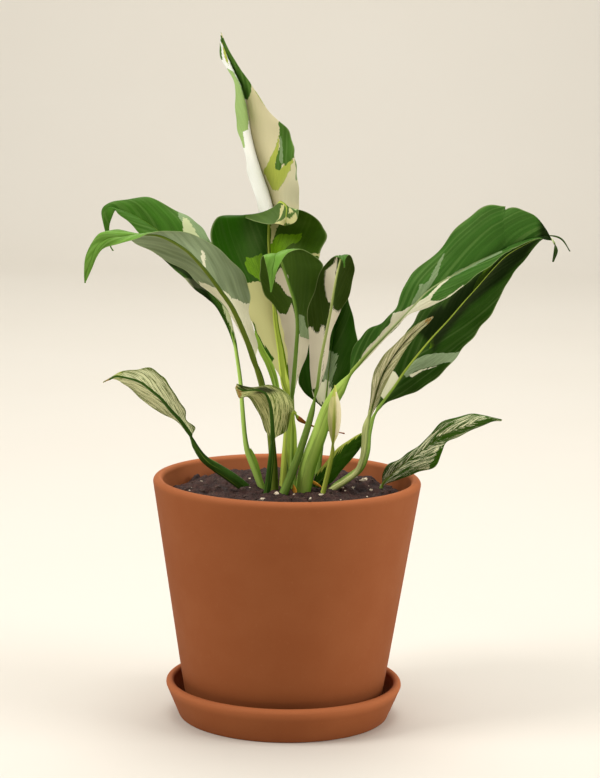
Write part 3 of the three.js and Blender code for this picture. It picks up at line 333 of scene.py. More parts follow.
# Marks on the leaves, painted in order: a kind, and its outline as rows of the blade and shares of its half
# width, less than 0 to the left of the midrib and more than 0 to the right.
MARKS = {
    "leaf_mottled_left": [
        ("bare", [(2.5, -1.4), (7.2, -1.4), (7.2, -0.95), (5, -0.95), (2.5, -0.95)]),
        ("bare", [(10.2, -1.2), (9.2, -1.2), (8.8, -0.95), (8.15, 0.6), (10, 1.2)]),
        ("lime", [(10.3, -1.2), (9.5, -1.2), (9.05, -1.2), (8.2, 0.95), (9.45, 1.2), (10.65, -1)]),
        ("dry", [(11, -0.3), (10, -1.2), (10.3, 1.2), (11, 1.2)]),
    ],
    "leaf_arching_front": [
        ("cream", [(6.85, -0.55), (6.65, -0.55), (6.15, -0.3), (5.65, -0.05), (5.85, -0.05), (6.3, -0.2)]),
        ("cream", [
            (4.05, -0.05), (3.95, -0.2), (3.5, -0.3), (3.45, -0.5), (3.15, -0.8), (3.2, -1.2), (2.2, -1.2),
            (0.5, -1.2), (-1, -1.2), (-1, -0.35), (0.5, 0.1), (2.15, 0.15), (3.2, 0.1),
        ]),
        ("cream", [
            (4.85, 0.85), (4.55, 0.65), (4.2, 0.35), (4.05, 0.05), (3.2, 0.1), (2.15, 0.15), (0.35, 0.45),
            (0.8, 1.2), (1.85, 1.2), (2.65, 0.85), (3.5, 1), (4.2, 1.2),
        ]),
    ],
    "leaf_arching_back": [
        ("frost", [
            (7.7, 1.2), (6.8, 1.2), (5.95, 1.2), (5.2, 1.2), (4.55, 1.2), (5.15, 0.75), (5.55, 0.65),
            (6.05, 0.55), (6.7, 0.7), (7.15, 0.8),
        ]),
        ("cream", [
            (6.95, 0.85), (6.65, 0.9), (6, 0.8), (5.35, 0.75), (5.65, 0.55), (6.05, 0.5), (6.5, 0.65),
        ]),
        ("cream", [
            (4.05, -1), (3.5, -0.55), (2.95, -0.1), (2.5, 0.25), (2.05, 0.4), (2.3, 0.05), (2.8, -0.6),
            (3.3, -0.9), (3.7, -1.2),
        ]),
        ("cream", [(1.95, 0.4), (1.55, 1), (0.65, 1.2), (-0.35, 1.2), (0.3, 0.65), (1.15, 0.1)]),
        ("dusk", [
            (5.85, -0.95), (5.3, -0.7), (4.5, -0.5), (3.55, -0.15), (2.8, -0.3), (2.05, -0.75), (1.15, -1.2),
            (0.55, -1.2), (0.65, -1.2), (1.7, -1.2), (2.95, -1.2), (3.95, -0.9), (4.95, -1), (5.5, -1.2),
        ]),
    ],
    "leaf_upright": [
        ("cream", [(-1, -1.4), (13, -1.4), (13, 1.4), (-1, 1.4)]),
        ("green", [
            (12, -1.2), (11.45, 1.2), (10.2, 1.2), (9.35, 1.2), (8.65, 1.2), (8, 0.65), (7.55, 0.15),
            (7.5, -0.25), (7.8, -0.35), (8.35, -0.4), (8.95, -0.35), (9.8, -0.15), (10.7, -0.25),
            (11.5, -0.85),
        ]),
        ("green", [(11.7, -1.2), (10.7, -0.65), (9.8, -0.85), (9.85, -1.2), (10.8, -1.2)]),
        ("lime", [(11.05, -0.35), (10.35, -0.1), (9.8, -0.25), (9.3, -0.65), (9.55, -0.65), (10.3, -0.45)]),
        ("light", [
            (9.15, -1), (8.85, -0.55), (8.3, -0.45), (7.8, -0.35), (7.5, -0.25), (7.2, -0.1), (6.55, -0.1),
            (6, -0.35), (5.85, -0.75), (5.05, -0.9), (5.05, -1.2), (6.35, -1.2), (7.05, -1.2), (7.85, -1.2),
            (8.5, -1.2),
        ]),
        ("lime", [
            (5.8, 0.75), (5.05, 0.55), (4.35, 0.25), (4.05, 0.05), (3.8, 0.1), (3.2, 0.15), (3.15, 0.35),
            (3.55, 0.65), (4, 0.85), (4.5, 0.95), (4.45, 0.85), (4.3, 0.75), (4, 0.55), (4.15, 0.45),
            (4.8, 0.6),
        ]),
        ("green", [
            (6.8, 1.2), (6.35, 1.2), (5.65, 1.2), (4.65, 1.2), (4.45, 0.9), (4.2, 0.75), (4.35, 0.7),
            (4, 0.55), (4.15, 0.45), (4.65, 0.55), (5.2, 0.7), (5.8, 0.75), (6.35, 0.9),
        ]),
        ("frost", [(6, 0.8), (5.2, 0.75), (4.5, 0.7), (4.2, 0.65), (4.5, 0.6), (5.2, 0.7)]),
        ("green", [(4.5, 1), (4.55, 1.2), (3.5, 1.2), (3.5, 0.95)]),
        ("lime", [(8.7, 1.2), (8.05, 1.2), (7.3, 1.2), (7.3, 1), (8, 0.95)]),
        ("bloom", [(3.55, 0.65), (4.05, 0.9), (4.35, 1.2), (2.45, 1.2), (2.55, 0.4), (3.05, 0.35)]),
    ],
    "leaf_cupped": [
        ("cream", [
            (4.3, -0.9), (4.45, -0.5), (4.5, -0.25), (4.5, 0.05), (4.35, 0.5), (4.15, 0.95), (2.7, 1.2),
            (0, -0.4), (0.05, -1.2), (2.05, -1.2), (3.15, -1.2),
        ]),
        ("green", [
            (3, -0.95), (2.65, -0.95), (2.35, -0.9), (2.05, -0.75), (1.8, -0.65), (1.7, -1.2), (2.2, -1.2),
            (2.55, -1.2),
        ]),
        ("glow", [
            (5.5, -0.5), (5.55, -0.35), (5.8, -0.15), (5.5, -0.15), (4.5, -0.3), (4.65, -0.45), (4.85, -0.55),
            (5.15, -0.55),
        ]),
        ("glow", [
            (5.65, 0), (6.45, 0.05), (7, 0.15), (7.15, 0.25), (7.15, 0.45), (7.3, 0.6), (6.8, 0.6),
            (6.45, 0.45), (6, 0.3), (5.7, 0.15),
        ]),
        ("cream", [(7.95, 0.05), (7.85, 0.2), (7.5, 0.15), (6.8, 0.1), (6.2, 0.05), (7.2, 0.05)]),
        ("cream", [(5.95, 0.85), (6.15, 1.2), (6.45, 1.2), (5.85, 1.2), (5.7, 1.2)]),
        ("cream", [
            (11.5, -0.55), (10.65, -0.25), (10.45, -0.1), (10.65, 0), (11, -0.15), (11.5, -0.35),
            (11.65, -0.55), (11.7, -0.85),
        ]),
        ("light", [(10.35, 0), (10.7, 0), (10.15, 0.9), (10.65, 0.85), (10.15, 0.55), (10.65, 0)]),
        ("cream", [(10.65, 0.25), (10.8, 0.4), (11.15, 0.55), (11.65, 0.15)]),
        ("cream", [
            (11.7, -0.95), (12.15, -0.5), (12, 0.4), (11.05, 0.75), (11.85, 1.2), (12.45, 1.2), (13, -1.2),
            (11.95, -1.2),
        ]),
    ],
    "leaf_curled_middle": [
        ("cream", [
            (4.2, 0.95), (3.85, 0.95), (3.65, 0.65), (3.85, 0.45), (4.15, 0.2), (3.8, 0.15), (2.45, 0),
            (0.2, -1.2), (0.2, 1), (1.65, 1.2), (2.95, 1.2),
        ]),
        ("cream", [
            (5.7, 0.5), (6.2, 0.3), (6.5, 0.1), (5.85, -0.05), (4.35, 0.05), (4.65, 0.25), (5.3, 0.35),
        ]),
        ("cream", [
            (2.65, -0.1), (2.8, -0.55), (2.65, -0.85), (2.8, -1.2), (1.7, -1.2), (0.35, -1.2), (0.2, -1.2),
            (2.2, -0.05),
        ]),
        ("frost", [
            (3.55, -0.15), (3.5, -0.5), (3.05, -0.65), (2.7, -1.2), (2.5, -1.2), (2.55, -0.55), (2.55, -0.25),
            (2.95, -0.1),
        ]),
    ],
    "leaf_curled_right": [
        ("cream", [
            (3.5, 1.2), (3.45, 0.85), (3.15, 0.65), (3.15, 0.45), (3.45, 0.35), (3.45, 0.2), (2.85, 0),
            (0.65, -1.2), (0.85, 1.2), (2.05, 1.2), (2.95, 1.2),
        ]),
        ("cream", [
            (6.35, 0.75), (7.05, 0.45), (8.3, 0.55), (6.85, 0.15), (5.45, 0), (4.45, 0.05), (4.5, 0.2),
            (5.45, 0.55),
        ]),
        ("cream", [
            (4.45, 0.05), (4.15, -0.15), (3.95, -0.8), (4.15, -1.2), (4.7, -1.2), (4.2, -1.2), (3.7, -1.2),
            (3, -1.2), (2.2, -1.2), (0.7, -1.2), (0.55, -1), (2.85, 0),
        ]),
    ],
    "leaf_dark_behind": [
        ("frost", [
            (2.65, -0.35), (2.85, -0.1), (2.65, 0.35), (2.15, 0.3), (1.05, 0.35), (0.85, -0.15),
            (1.85, -0.25),
        ]),
        ("cream", [(1.55, -0.45), (1.55, 0), (0.3, 1), (0.35, -0.8)]),
    ],
    "leaf_broad_upper": [
        ("frost", [
            (5.2, 0), (6.15, -0.25), (6.8, -0.3), (7.05, -0.45), (7.15, -0.3), (7.45, -0.3), (7.95, -0.55),
            (8.55, -0.8), (8.65, -0.75), (8.3, -0.55), (7.95, -0.3), (7.35, -0.1), (6.95, -0.05),
            (6.35, 0.05), (5.5, 0.4),
        ]),
        ("frost", [
            (7.65, 0.05), (8.2, -0.05), (9.05, -0.05), (10.15, 0), (11.35, 0.45), (11.2, 0.7), (10.45, 0.5),
            (9.45, 0.25), (8.65, 0.15), (8.05, 0.05), (7.65, 0.25), (7.2, 0.2),
        ]),
        ("cream", [
            (4.2, -0.6), (4.85, -0.85), (5.2, -0.35), (5.85, -0.1), (6.55, 0.25), (7.2, 0.2), (7.8, 0.05),
            (8.35, -0.05), (8.7, 0), (8.2, 0.15), (7.65, 0.25), (7.05, 0.4), (6.65, 0.6), (6.85, 0.9),
            (7.2, 0.95), (8, 0.95), (8.55, 0.95), (8.5, 1), (7.85, 1.2), (7.2, 1.2), (6.85, 1.2), (6.3, 1.2),
            (5.55, 1.2), (5.15, 1.2), (4.5, 1), (3.85, -0.05),
        ]),
        ("cream", [
            (0.3, -0.2), (1.05, -0.15), (1.65, -0.25), (2.45, -0.25), (3, -0.25), (4.05, -0.45),
            (4.95, -0.15), (4.8, 0.85), (4.05, 0.8), (3, 1), (2.05, 1.2), (1.35, 1.2), (0.45, 1.2),
        ]),
        ("dusk", [(15.4, -1.6), (20, -1.6), (20, 1.6), (15.4, 1.6)]),
    ],
    "leaf_broad_lower": [
        ("frost", [
            (2.8, 0.05), (3.2, 0), (3.8, 0.05), (4.15, 0.2), (4.45, 0.45), (4.7, 0.75), (5.15, 1.2),
            (4.7, 1.2), (4.3, 0.85), (3.85, 0.6), (3.3, 0.3), (2.8, 0.25),
        ]),
        ("cream", [
            (2.95, 0.25), (3.55, 0.45), (4.05, 0.75), (4.3, 0.85), (4.05, 0.75), (3.5, 0.5), (2.95, 0.4),
        ]),
        ("cream", [
            (2, -0.95), (2.35, -0.75), (2.55, -0.35), (2.5, -0.05), (1.95, -0.05), (1.05, -0.1),
            (0.95, -0.85),
        ]),
        ("glow", [(4.45, 0.2), (4.85, 0), (5.2, -0.25), (4.95, 0.05), (4.65, 0.25), (4.5, 0.2)]),
        ("glow", [
            (7.65, -0.05), (8.05, -0.25), (8.55, -0.3), (9.35, -0.35), (9.05, -0.15), (8.5, -0.05),
            (7.95, 0.05), (7.65, 0.05),
        ]),
        ("dusk", [
            (6.05, -0.45), (6.5, -0.55), (7.35, -0.5), (8.55, -0.3), (9.85, -0.15), (11.05, 0.05),
            (11.5, 0.4), (10.15, 0.95), (9.3, 0.85), (8.55, 0.75), (7.85, 0.5), (6.95, 0.25), (5.95, 0.25),
            (4.95, 0.3), (4.45, 0.35), (4.7, 0), (4.55, -0.5), (5.3, -0.65), (5.95, -0.65),
        ]),
    ],
    "leaf_folded": [
        ("dry", [(7.8, -0.65), (8.65, -1.2), (9, 0), (8.65, 1.2), (7.85, 1)]),
    ],
    "leaf_mottled_right": [
        ("bare", [
            (5.15, -0.35), (6, -0.1), (6.95, 0.15), (8, 0.1), (9, 0.05), (10, -0.35), (11, -1.2), (10, 1.2),
            (8.85, 0.9), (7.95, 0.85), (7.2, 0.65), (6.35, 0.65), (5.3, 0.25), (4.7, 0.05),
        ]),
        ("bare", [(9.15, -1), (9.95, -1.2), (11, -0.1), (9.8, 0.25)]),
        ("bare", [
            (5.35, 0.65), (5.15, 1), (4.65, 1.2), (4.15, 1.2), (3.65, 1.2), (3.45, 1.2), (3.95, 0.75),
            (4.5, 0.75), (4.85, 0.7),
        ]),
        ("cream", [(4.55, 0.45), (4.95, 0.5), (5.2, 0.6), (5, 0.7), (4.65, 0.6)]),
        ("cream", [(3.8, 0.4), (4.2, 0.45), (4.05, 0.5)]),
        ("light", [(-1.8, -0.7), (0.3, -0.35), (1.35, -0.35), (1.2, 0.45), (-0.95, 1.2)]),
    ],
    "leaf_mottled_front": [
        ("dusk", [
            (5.95, -0.5), (5.45, -0.75), (4.7, -0.65), (4.15, -0.65), (3.95, -0.25), (4.2, 0.15), (4.3, 0.45),
        ]),
        ("bare", [(8, -1.2), (6.85, -1.2), (5.85, -0.75), (6, 0.2), (7.3, 0.15)]),
        ("dusk", [(7.95, -1.2), (6.7, -1.2), (6.05, -0.8), (6.5, -0.15), (7.35, -0.25)]),
        ("dry", [(8, 0.6), (7.45, 0.1), (6.35, 0.5), (5.85, 1.2), (6.5, 1.2)]),
    ],
    "spear_pale": [
        ("lime", [(3.6, -2), (5.2, -2), (5.2, 2), (3.9, 2)]),
        ("cream", [(0.8, 0.1), (4.2, 0.1), (4.2, 1.6), (0.8, 1.6)]),
    ],
    "leaf_young": [
        ("lime", [(1, -1.4), (5.5, -1.4), (5.5, -0.7), (1, -0.75)]),
    ],
    "spear_green": [
        ("cream", [(4.6, -3), (9.6, -3), (9.6, 3), (5, 3)]),
    ],
    "sheath_middle": [
        ("green", [(-1, -1.4), (7, -1.4), (7, 1.4), (-1, 1.4)]),
    ],
}

# Pale grains that show in the photograph: x, y and radius.
SEEN_GRAINS = [
    (-13.9, -27.1, 1.5), (-6.1, -18.6, 1.5), (20.2, -17.6, 1.9), (10.2, -0.2, 0.9), (14.1, -22.9, 1.1),
    (46.7, 24.4, 2.0), (50.6, 7.3, 1.1), (41.9, 34.6, 0.9), (30, 39.4, 1.0), (33.2, 1.9, 0.8),
    (47.5, -15.7, 0.8), (-22.8, 23.6, 0.8),
]

# Lights: name, place, aim, width and power, in metres and watts.
LIGHTS = (
    ("soft_right", (1.35, -0.40, 0.65), (0, 0, 0.2), 0.9, 14.0),
    ("soft_left", (-1.15, -0.50, 1.10), (0, 0, 0.25), 0.6, 15.0),
    ("above", (0.1, 0.1, 1.7), (0, 0, 0.1), 1.2, 15.0),
    ("backdrop", (0.0, 1.5, 2.4), (0, 3.1, 0.5), 1.8, 48.0),
)
LIGHT_COLOUR = (1.0, 0.98, 0.95)
GLOW_COLOUR = (1.0, 0.985, 0.955)
GLOW_STRENGTH = 0.28

# The camera: its place in metres, and how far it looks down and leans over, in degrees.
CAMERA_PLACE = (0.006691, -1.384085, 0.409734)
CAMERA_PITCH = 8.673
CAMERA_ROLL = 1.05

Tint = namedtuple("Tint", "upper under stalk rib left right veins left_flecks right_flecks", defaults=(0, 0))

# How each leaf is coloured: its upper face, its underside, its stalk and its midrib, its pale parts to the
# left and to the right of the midrib, how plainly its veins show, and how closely either side is flecked.
TINTS = {
    "leaf_mottled_left": Tint("drab", "drab", "forest", "forest", "bone", "bone", 0.3, 0.74, 0.76),
    "leaf_arching_front": Tint("fresh", "sage", "olive", "olive", "milk", "milk", 0.55),
    "leaf_arching_back": Tint("rich", "sage", "spring", "lime", "haze", "haze", 0.35),
    # The upright leaf's ivory right of the midrib is partly its cream and partly painted shade on that half.
    "leaf_upright": Tint("meadow", "sage", "straw", "straw", "white", "ivory", 0.6),
    "leaf_cupped": Tint("deep", "ivy", "lime", "lime", "butter", "butter", 0.14),
    "leaf_curled_middle": Tint("fresh", "shade", "leek", "leek", "shell", "shell", 0.2),
    "leaf_curled_right": Tint("rich", "gloom", "leek", "celery", "shell", "shell", 0.2),
    "leaf_dark_behind": Tint("pine", "pine", "spring", "deep", "milk", "milk", 0.12),
    "leaf_broad_upper": Tint("grass", "sage", "reed", "pale", "milk", "milk", 0.65),
    "leaf_broad_lower": Tint("night", "gloom", "spring", "lime", "milk", "milk", 0.32),
    "leaf_folded": Tint("mist", "mist", "celery", "forest", "linen", "linen", 0.3, 0.6, 0.6),
    "leaf_mottled_right": Tint("forest", "moss", "spring", "moss", "frosty", "frosty", 0.2, 0.43, 0.43),
    "leaf_mottled_front": Tint("drab", "drab", "forest", "forest", "tallow", "tallow", 0.3, 0.6, 0.66),
    "spear_pale": Tint("primrose", "primrose", "lime", "lime", "ivory", "ivory", 0),
    "leaf_young": Tint("forest", "forest", "forest", "olive", "milk", "milk", 0.2),
    "spear_green": Tint("sprout", "sprout", "spring", "lime", "rust", "rust", 0),
    "sheath_middle": Tint("spring", "leek", "spring", "lime", "putty", "putty", 0),
    "sheath_left": Tint("spring", "spring", "spring", "spring", "milk", "milk", 0),
    "sheath_tip_front": Tint("amber", "amber", "amber", "amber", "milk", "milk", 0),
    "sheath_tip_right": Tint("amber", "amber", "amber", "amber", "milk", "milk", 0),
}

# Leaves whose upper face is painted lighter to the right of the midrib, as painted light on that half.
RIGHT_HALVES = {"leaf_cupped": "bronze"}

# Colours by name, as red, green and blue from 0 to 1 on a screen.
COLOURS = {
    "night": (0.1, 0.22, 0.03), "pine": (0.07, 0.22, 0), "deep": (0.11, 0.29, 0),
    "bronze": (0.21, 0.33, 0.03), "rich": (0.24, 0.42, 0.12), "grass": (0.245, 0.43, 0.155),
    "drab": (0.36, 0.43, 0.08), "primrose": (0.86, 0.84, 0.56), "frosty": (0.95, 0.95, 0.78),
    "meadow": (0.31, 0.47, 0.18), "fresh": (0.42, 0.6, 0.23), "forest": (0.17, 0.33, 0.03),
    "moss": (0.34, 0.43, 0.13), "shade": (0.205, 0.305, 0.06), "gloom": (0.13, 0.2, 0.01),
    "ivy": (0.29, 0.39, 0.17), "sage": (0.555, 0.61, 0.47), "mist": (0.58, 0.57, 0.38),
    "leek": (0.4, 0.54, 0.16), "reed": (0.58, 0.71, 0.24), "spring": (0.54, 0.68, 0.24),
    "sprout": (0.64, 0.74, 0.28), "celery": (0.66, 0.69, 0.42), "lime": (0.6, 0.66, 0.15),
    "olive": (0.36, 0.43, 0.04), "pale": (0.68, 0.74, 0.52), "straw": (0.76, 0.74, 0.44),
    "white": (0.96, 0.96, 0.94), "milk": (0.88, 0.87, 0.75), "ivory": (0.87, 0.83, 0.67),
    "haze": (0.77, 0.8, 0.61), "shell": (0.8, 0.77, 0.68), "linen": (0.8, 0.77, 0.62),
    "butter": (0.73, 0.71, 0.49), "bone": (0.89, 0.9, 0.71), "tallow": (0.8, 0.81, 0.55),
    "rust": (0.56, 0.27, 0.09), "putty": (0.82, 0.78, 0.66), "amber": (0.93, 0.64, 0.24),
}

MidribForm = namedtuple("MidribForm", "foot loss power groove paint")
PLAIN_MIDRIB = MidribForm(0.85, 0.7, 0.5, -0.35, 1)

# Midribs that differ from the plain one. Foot and loss are its thickness at the blade's foot and how much
# of that goes by the tip, as shares of the stalk's end, and power bends the way between. Groove is how far
# it stands out of the upper face, or sinks in if less than 0, and paint how wide its colour is, both as
# shares of its thickness.
MIDRIBS = {
    "leaf_cupped": MidribForm(1.0, 0.97, 0.75, 1.3, 1.75),
    "leaf_mottled_left": MidribForm(0.8, 0.68, 0.7, -0.35, 1),
    "leaf_arching_front": MidribForm(1.05, 0.95, 0.5, -0.35, 1),
    "leaf_curled_right": MidribForm(0.7, 0.6, 0.5, -0.35, 1),
    "leaf_broad_upper": MidribForm(0.5, 0.4, 0.5, -0.2, 1),
    "leaf_arching_back": MidribForm(0.85, 0.7, 0.5, -0.2, 1),
}
# The stalks and midribs are painted paler towards this side, as painted light, and darker away from it, as
# painted shade.
LIGHT_SIDE = (-0.86, -0.38, 0.34)  # the side on which the stalks are paler

# Marks are painted over each other, and green is the bare leaf again. Shades are painted shade that darkens a
# leaf, bare patches kept free of flecks, and a painted highlight that lightens it.
MARK_NAMES = ("green", "cream", "frost", "lime", "light", "dry", "glow")
SHADE_NAMES = ("dusk", "bare", "bloom")

# How ragged the edges of a leaf's marks are, where that differs from 1.
RAGGED = {
    "leaf_broad_upper": 0.3, "leaf_broad_lower": 0.3, "leaf_upright": 0.5, "leaf_curled_middle": 0.3,
    "spear_pale": 0.1, "spear_green": 0.1, "leaf_arching_front": 0.6, "leaf_arching_back": 0.6,
    "leaf_cupped": 0.7, "leaf_mottled_right": 0.5,
}

# Distances in millimetres between the veins of three sizes and between the swellings of a quilted face, and
# those over which the margins wander up and down, and in and out.
MAIN_VEINS = 13.0
THIN_VEINS = 2.9
SMALL_VEINS = 2.3
QUILTING = 7.4
MARGIN_WAVES = 4.2
SCALLOPS = 3.1
VEIN_LEAN = 1.8  # how far a vein runs forwards for each step away from the midrib
VEIN_BEND = 1.5  # how much more it does so at the margin
BOW = 0.08  # how far each half of a blade bows up, as a share of that half's width
SLIMMED = 0.55  # how much of a blade's thickness goes by its margin
NICK_LENGTH = 0.5  # rows in which the nick in a margin dies away
RIB_PAINT_END = (9, 12.5)  # rows over which a midrib that is painted wide narrows again
THINNEST = 0.3  # least radius and half width, in millimetres
MAP_SPAN = 200  # millimetres of a leaf on one unit of its UV map

# Half widths in millimetres under which scallops, waves and quilting fade.
SCALLOP_REACH = 22
WAVE_REACH = 14
QUILT_REACH = 10


# Numbers and meshes


def from_screen(colour):
    """A screen colour c as linear light: c / 12.92 up to 0.04045, and ((c + 0.055) / 1.055)^2.4 above."""
    colour = np.asarray(colour, float)
    return np.where(colour <= 0.04045, colour / 12.92, ((colour + 0.055) / 1.055) ** 2.4)


def linear(colour):
    """A screen colour as a shader socket takes it: linear, with its opacity."""
    return (*from_screen(colour), 1.0)


def smoothstep(value, low, high):
    """0 below low, 1 above high, and 3u^2 - 2u^3 between them."""
    share = np.clip((value - low) / (high - low), 0, 1)
    return share * share * (3 - 2 * share)


def unit(vectors):
    """Each vector divided by its length."""
    return vectors / np.maximum(np.linalg.norm(vectors, axis=-1, keepdims=True), 1e-12)


def lift(values):
    """The same values with one more axis at the end, so that one value meets a whole row or vector."""
    return values[..., None]


def name_seed(name):
    """A whole number for a name, the sum of its letters' codes, from which its random draws start."""
    return sum(ord(letter) for letter in name)


def curve_through(points, places):
    """A smooth curve read at places counted in points.

    Between two points it is the cubic that leaves each of them along half the step between that point's
    neighbours. Past either end the neighbour is the mirror image of the one inside.
    """
    points = np.asarray(points, float)
    ends = np.vstack([2 * points[0] - points[1], points, 2 * points[-1] - points[-2]])
    first = np.clip(np.floor(places).astype(int), 0, len(points) - 2)
    share = lift(places - first)
    before, start, stop, after = (ends[first + step] for step in range(4))
    leave, arrive = (stop - before) / 2, (after - start) / 2
    bend = 3 * (stop - start) - 2 * leave - arrive
    twist = 2 * (start - stop) + leave + arrive
    return start + leave * share + bend * share**2 + twist * share**3


def ripple(places, seed, waves=5):
    """A smooth wandering line from about -1 to 1: a sum of seeded sines over 1.4 sqrt(their number)."""
    dice = np.random.default_rng(seed)
    turns = dice.uniform(0.35, 1.7, waves)
    starts = dice.uniform(0, 2 * math.pi, waves)
    return np.sin(lift(places) * turns + starts).sum(-1) / waves**0.5 / 1.4


def grid_faces(rows, columns, close=False):
    """Four-sided faces between the points of a grid; close joins its last column to its first."""
    row, column = np.meshgrid(np.arange(rows - 1), np.arange(columns - (not close)), indexing="ij")
    after = (column + 1) % columns
    here, above = row * columns, (row + 1) * columns
    return np.stack([here + column, here + after, above + after, above + column], -1).reshape(-1, 4)


def add_piece(name, points, faces, material, smooth_angle):
    """Put points in millimetres and faces of three or four corners into a new object at the origin."""
    mesh = bpy.data.meshes.new(name)
    flat = np.concatenate([part.reshape(-1) for part in faces])
    counts = np.concatenate([np.full(len(part), part.shape[1]) for part in faces])
    mesh.vertices.add(len(points))
    mesh.vertices.foreach_set("co", (points * MM).astype(np.float32).reshape(-1))
    mesh.loops.add(len(flat))
    mesh.loops.foreach_set("vertex_index", flat.astype(np.int32))
    mesh.polygons.add(len(counts))
    starts = np.concatenate([[0], np.cumsum(counts)[:-1]])
    mesh.polygons.foreach_set("loop_start", starts.astype(np.int32))
    mesh.polygons.foreach_set("use_smooth", np.ones(len(counts), bool))
    mesh.update(calc_edges=True)
    mesh.validate()
    mesh.set_sharp_from_angle(angle=math.radians(smooth_angle))
    mesh.materials.append(material)
    piece = bpy.data.objects.new(name, mesh)
    bpy.context.scene.collection.objects.link(piece)
    return piece


def write_attribute(piece, name, values):
    """Store one number or three per point of a piece, for its material to read."""
    kind, field = ("FLOAT", "value") if values.ndim == 1 else ("FLOAT_VECTOR", "vector")
    layer = piece.data.attributes.new(name, kind, "POINT")
    layer.data.foreach_set(field, values.astype(np.float32).reshape(-1))


def settle(piece, node):
    """Let a finished piece ride on the body and stand for its node, if it has one, which is hidden."""
    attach(piece, "root")
    if node:
        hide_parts(node)


# Pot and saucer


def arc(centre, radius, start, stop, count):
    """Points of a circle round a centre, from one angle in degrees to another."""
    return [
        (centre[0] + radius * math.cos(angle), centre[1] + radius * math.sin(angle))
        for angle in np.radians(np.linspace(start, stop, count))
    ]


def turned_piece(name, profile, material, sides=192):
    """A profile of radius r and height h carried round the vertical: x = r cos a, y = r sin a, z = h."""
    radius, height = lift(np.array(profile, float).T)
    angle = np.linspace(0, 2 * math.pi, sides, endpoint=False)
    points = np.stack([radius * np.cos(angle), radius * np.sin(angle), height + 0 * angle], -1)
    faces = grid_faces(len(profile), sides, close=True)
    return add_piece(name, points.reshape(-1, 3), [faces], material, 50)


def pot_profile():
    """The pot's wall from the drain hole out, up over a rounded lip, and down inside to the hole again.

    The points part of the way up its straight sides keep the shading of the curves beside them short.
    """
    bead = POT_WALL / 2
    top = POT_HEIGHT - bead
    floor = POT_BASE + POT_FLOOR
    foot_round, edge = 2.2, 0.6
    inner_foot = POT_FOOT_RADIUS - POT_WALL + POT_SLOPE * POT_FLOOR
    inner_rim = POT_RIM_RADIUS - POT_WALL
    return [
        (DRAIN_RADIUS + edge, POT_BASE),
        *arc((POT_FOOT_RADIUS - foot_round, POT_BASE + foot_round), foot_round, -90, -8, 7),
        (POT_FOOT_RADIUS + POT_SLOPE * 30, POT_BASE + 30),
        (POT_RIM_RADIUS - POT_SLOPE * 40, top - 40),
        *arc((POT_RIM_RADIUS - bead, top), bead, -6, 186, 15),
        (inner_rim - POT_SLOPE * 12, top - 12),
        (inner_rim - POT_SLOPE * 60, top - 60),
        (inner_foot + 0.9, floor + 5),
        (inner_foot - 1, floor + 1.2),
        (inner_foot - 4, floor),
        (DRAIN_RADIUS + edge, floor),
        (DRAIN_RADIUS, floor - edge),
        (DRAIN_RADIUS, POT_BASE + edge),
        (DRAIN_RADIUS + edge, POT_BASE),
    ]


def saucer_profile():
    """The saucer's outline: out from its middle underneath, up over a rounded lip and in over its floor."""
    bead = SAUCER_WALL / 2
    top = SAUCER_HEIGHT - bead
    foot_round = 1.4
    middle = 0.01
    inner_foot = SAUCER_FOOT_RADIUS - SAUCER_WALL + 1.6
    return [
        (middle, 0),
        (SAUCER_FOOT_RADIUS - 2.5, 0),
        *arc((SAUCER_FOOT_RADIUS - foot_round, foot_round), foot_round, -90, -20, 6),
        *arc((SAUCER_RIM_RADIUS - bead, top), bead, -18, 196, 17),
        (inner_foot + 0.5, SAUCER_FLOOR + 1.6),
        (inner_foot, SAUCER_FLOOR + 0.8),
        (inner_foot - 0.8, SAUCER_FLOOR),
        (middle, SAUCER_FLOOR),
    ]


# Potting mix


def pot_inner_radius(height):
    """Radius of the pot's inner wall at a height."""
    return POT_FOOT_RADIUS - POT_WALL + POT_SLOPE * (height - POT_BASE)


def mix_height(x, y):
    """Height of the mix: a low mound, a bank at the back, and lumps from products of sines."""
    reach = pot_inner_radius(MIX_EDGE_HEIGHT)
    mound = MIX_MOUND * (1 - (x * x + y * y) / (reach * reach))
    large = np.sin(0.21 * x + 0.8) * np.cos(0.17 * y - 0.4)
    small = np.sin(0.47 * x - 1.1 + 0.3 * np.sin(0.2 * y)) * np.sin(0.43 * y + 0.6)
    bank = MIX_BANK * smoothstep(y, -5, 45) * (1 - smoothstep(np.hypot(x, y), 0.8 * reach, reach))
    return MIX_EDGE_HEIGHT + mound + bank + MIX_LUMP * (large + 0.8 * small)


def clod_height(x, y, count, seed=11):
    """Height of the clods at each point: the highest of many domes h sqrt(1 - d^2 / r^2) strewn there."""
    dice = np.random.default_rng(seed)
    reach = pot_inner_radius(MIX_EDGE_HEIGHT) - 1.5
    angle = dice.uniform(0, 2 * math.pi, count)
    out = reach * np.sqrt(dice.uniform(0, 1, count))
    radius = dice.uniform(1.6, 5.4, count)
    height = radius * dice.uniform(0.28, 0.55, count)
    highest = np.zeros_like(x)
    for a, r, clod_radius, clod in zip(angle, out, radius, height):
        away = ((x - r * np.cos(a)) ** 2 + (y - r * np.sin(a)) ** 2) / clod_radius**2
        highest = np.maximum(highest, clod * np.sqrt(np.clip(1 - away, 0, 1)))
    return highest


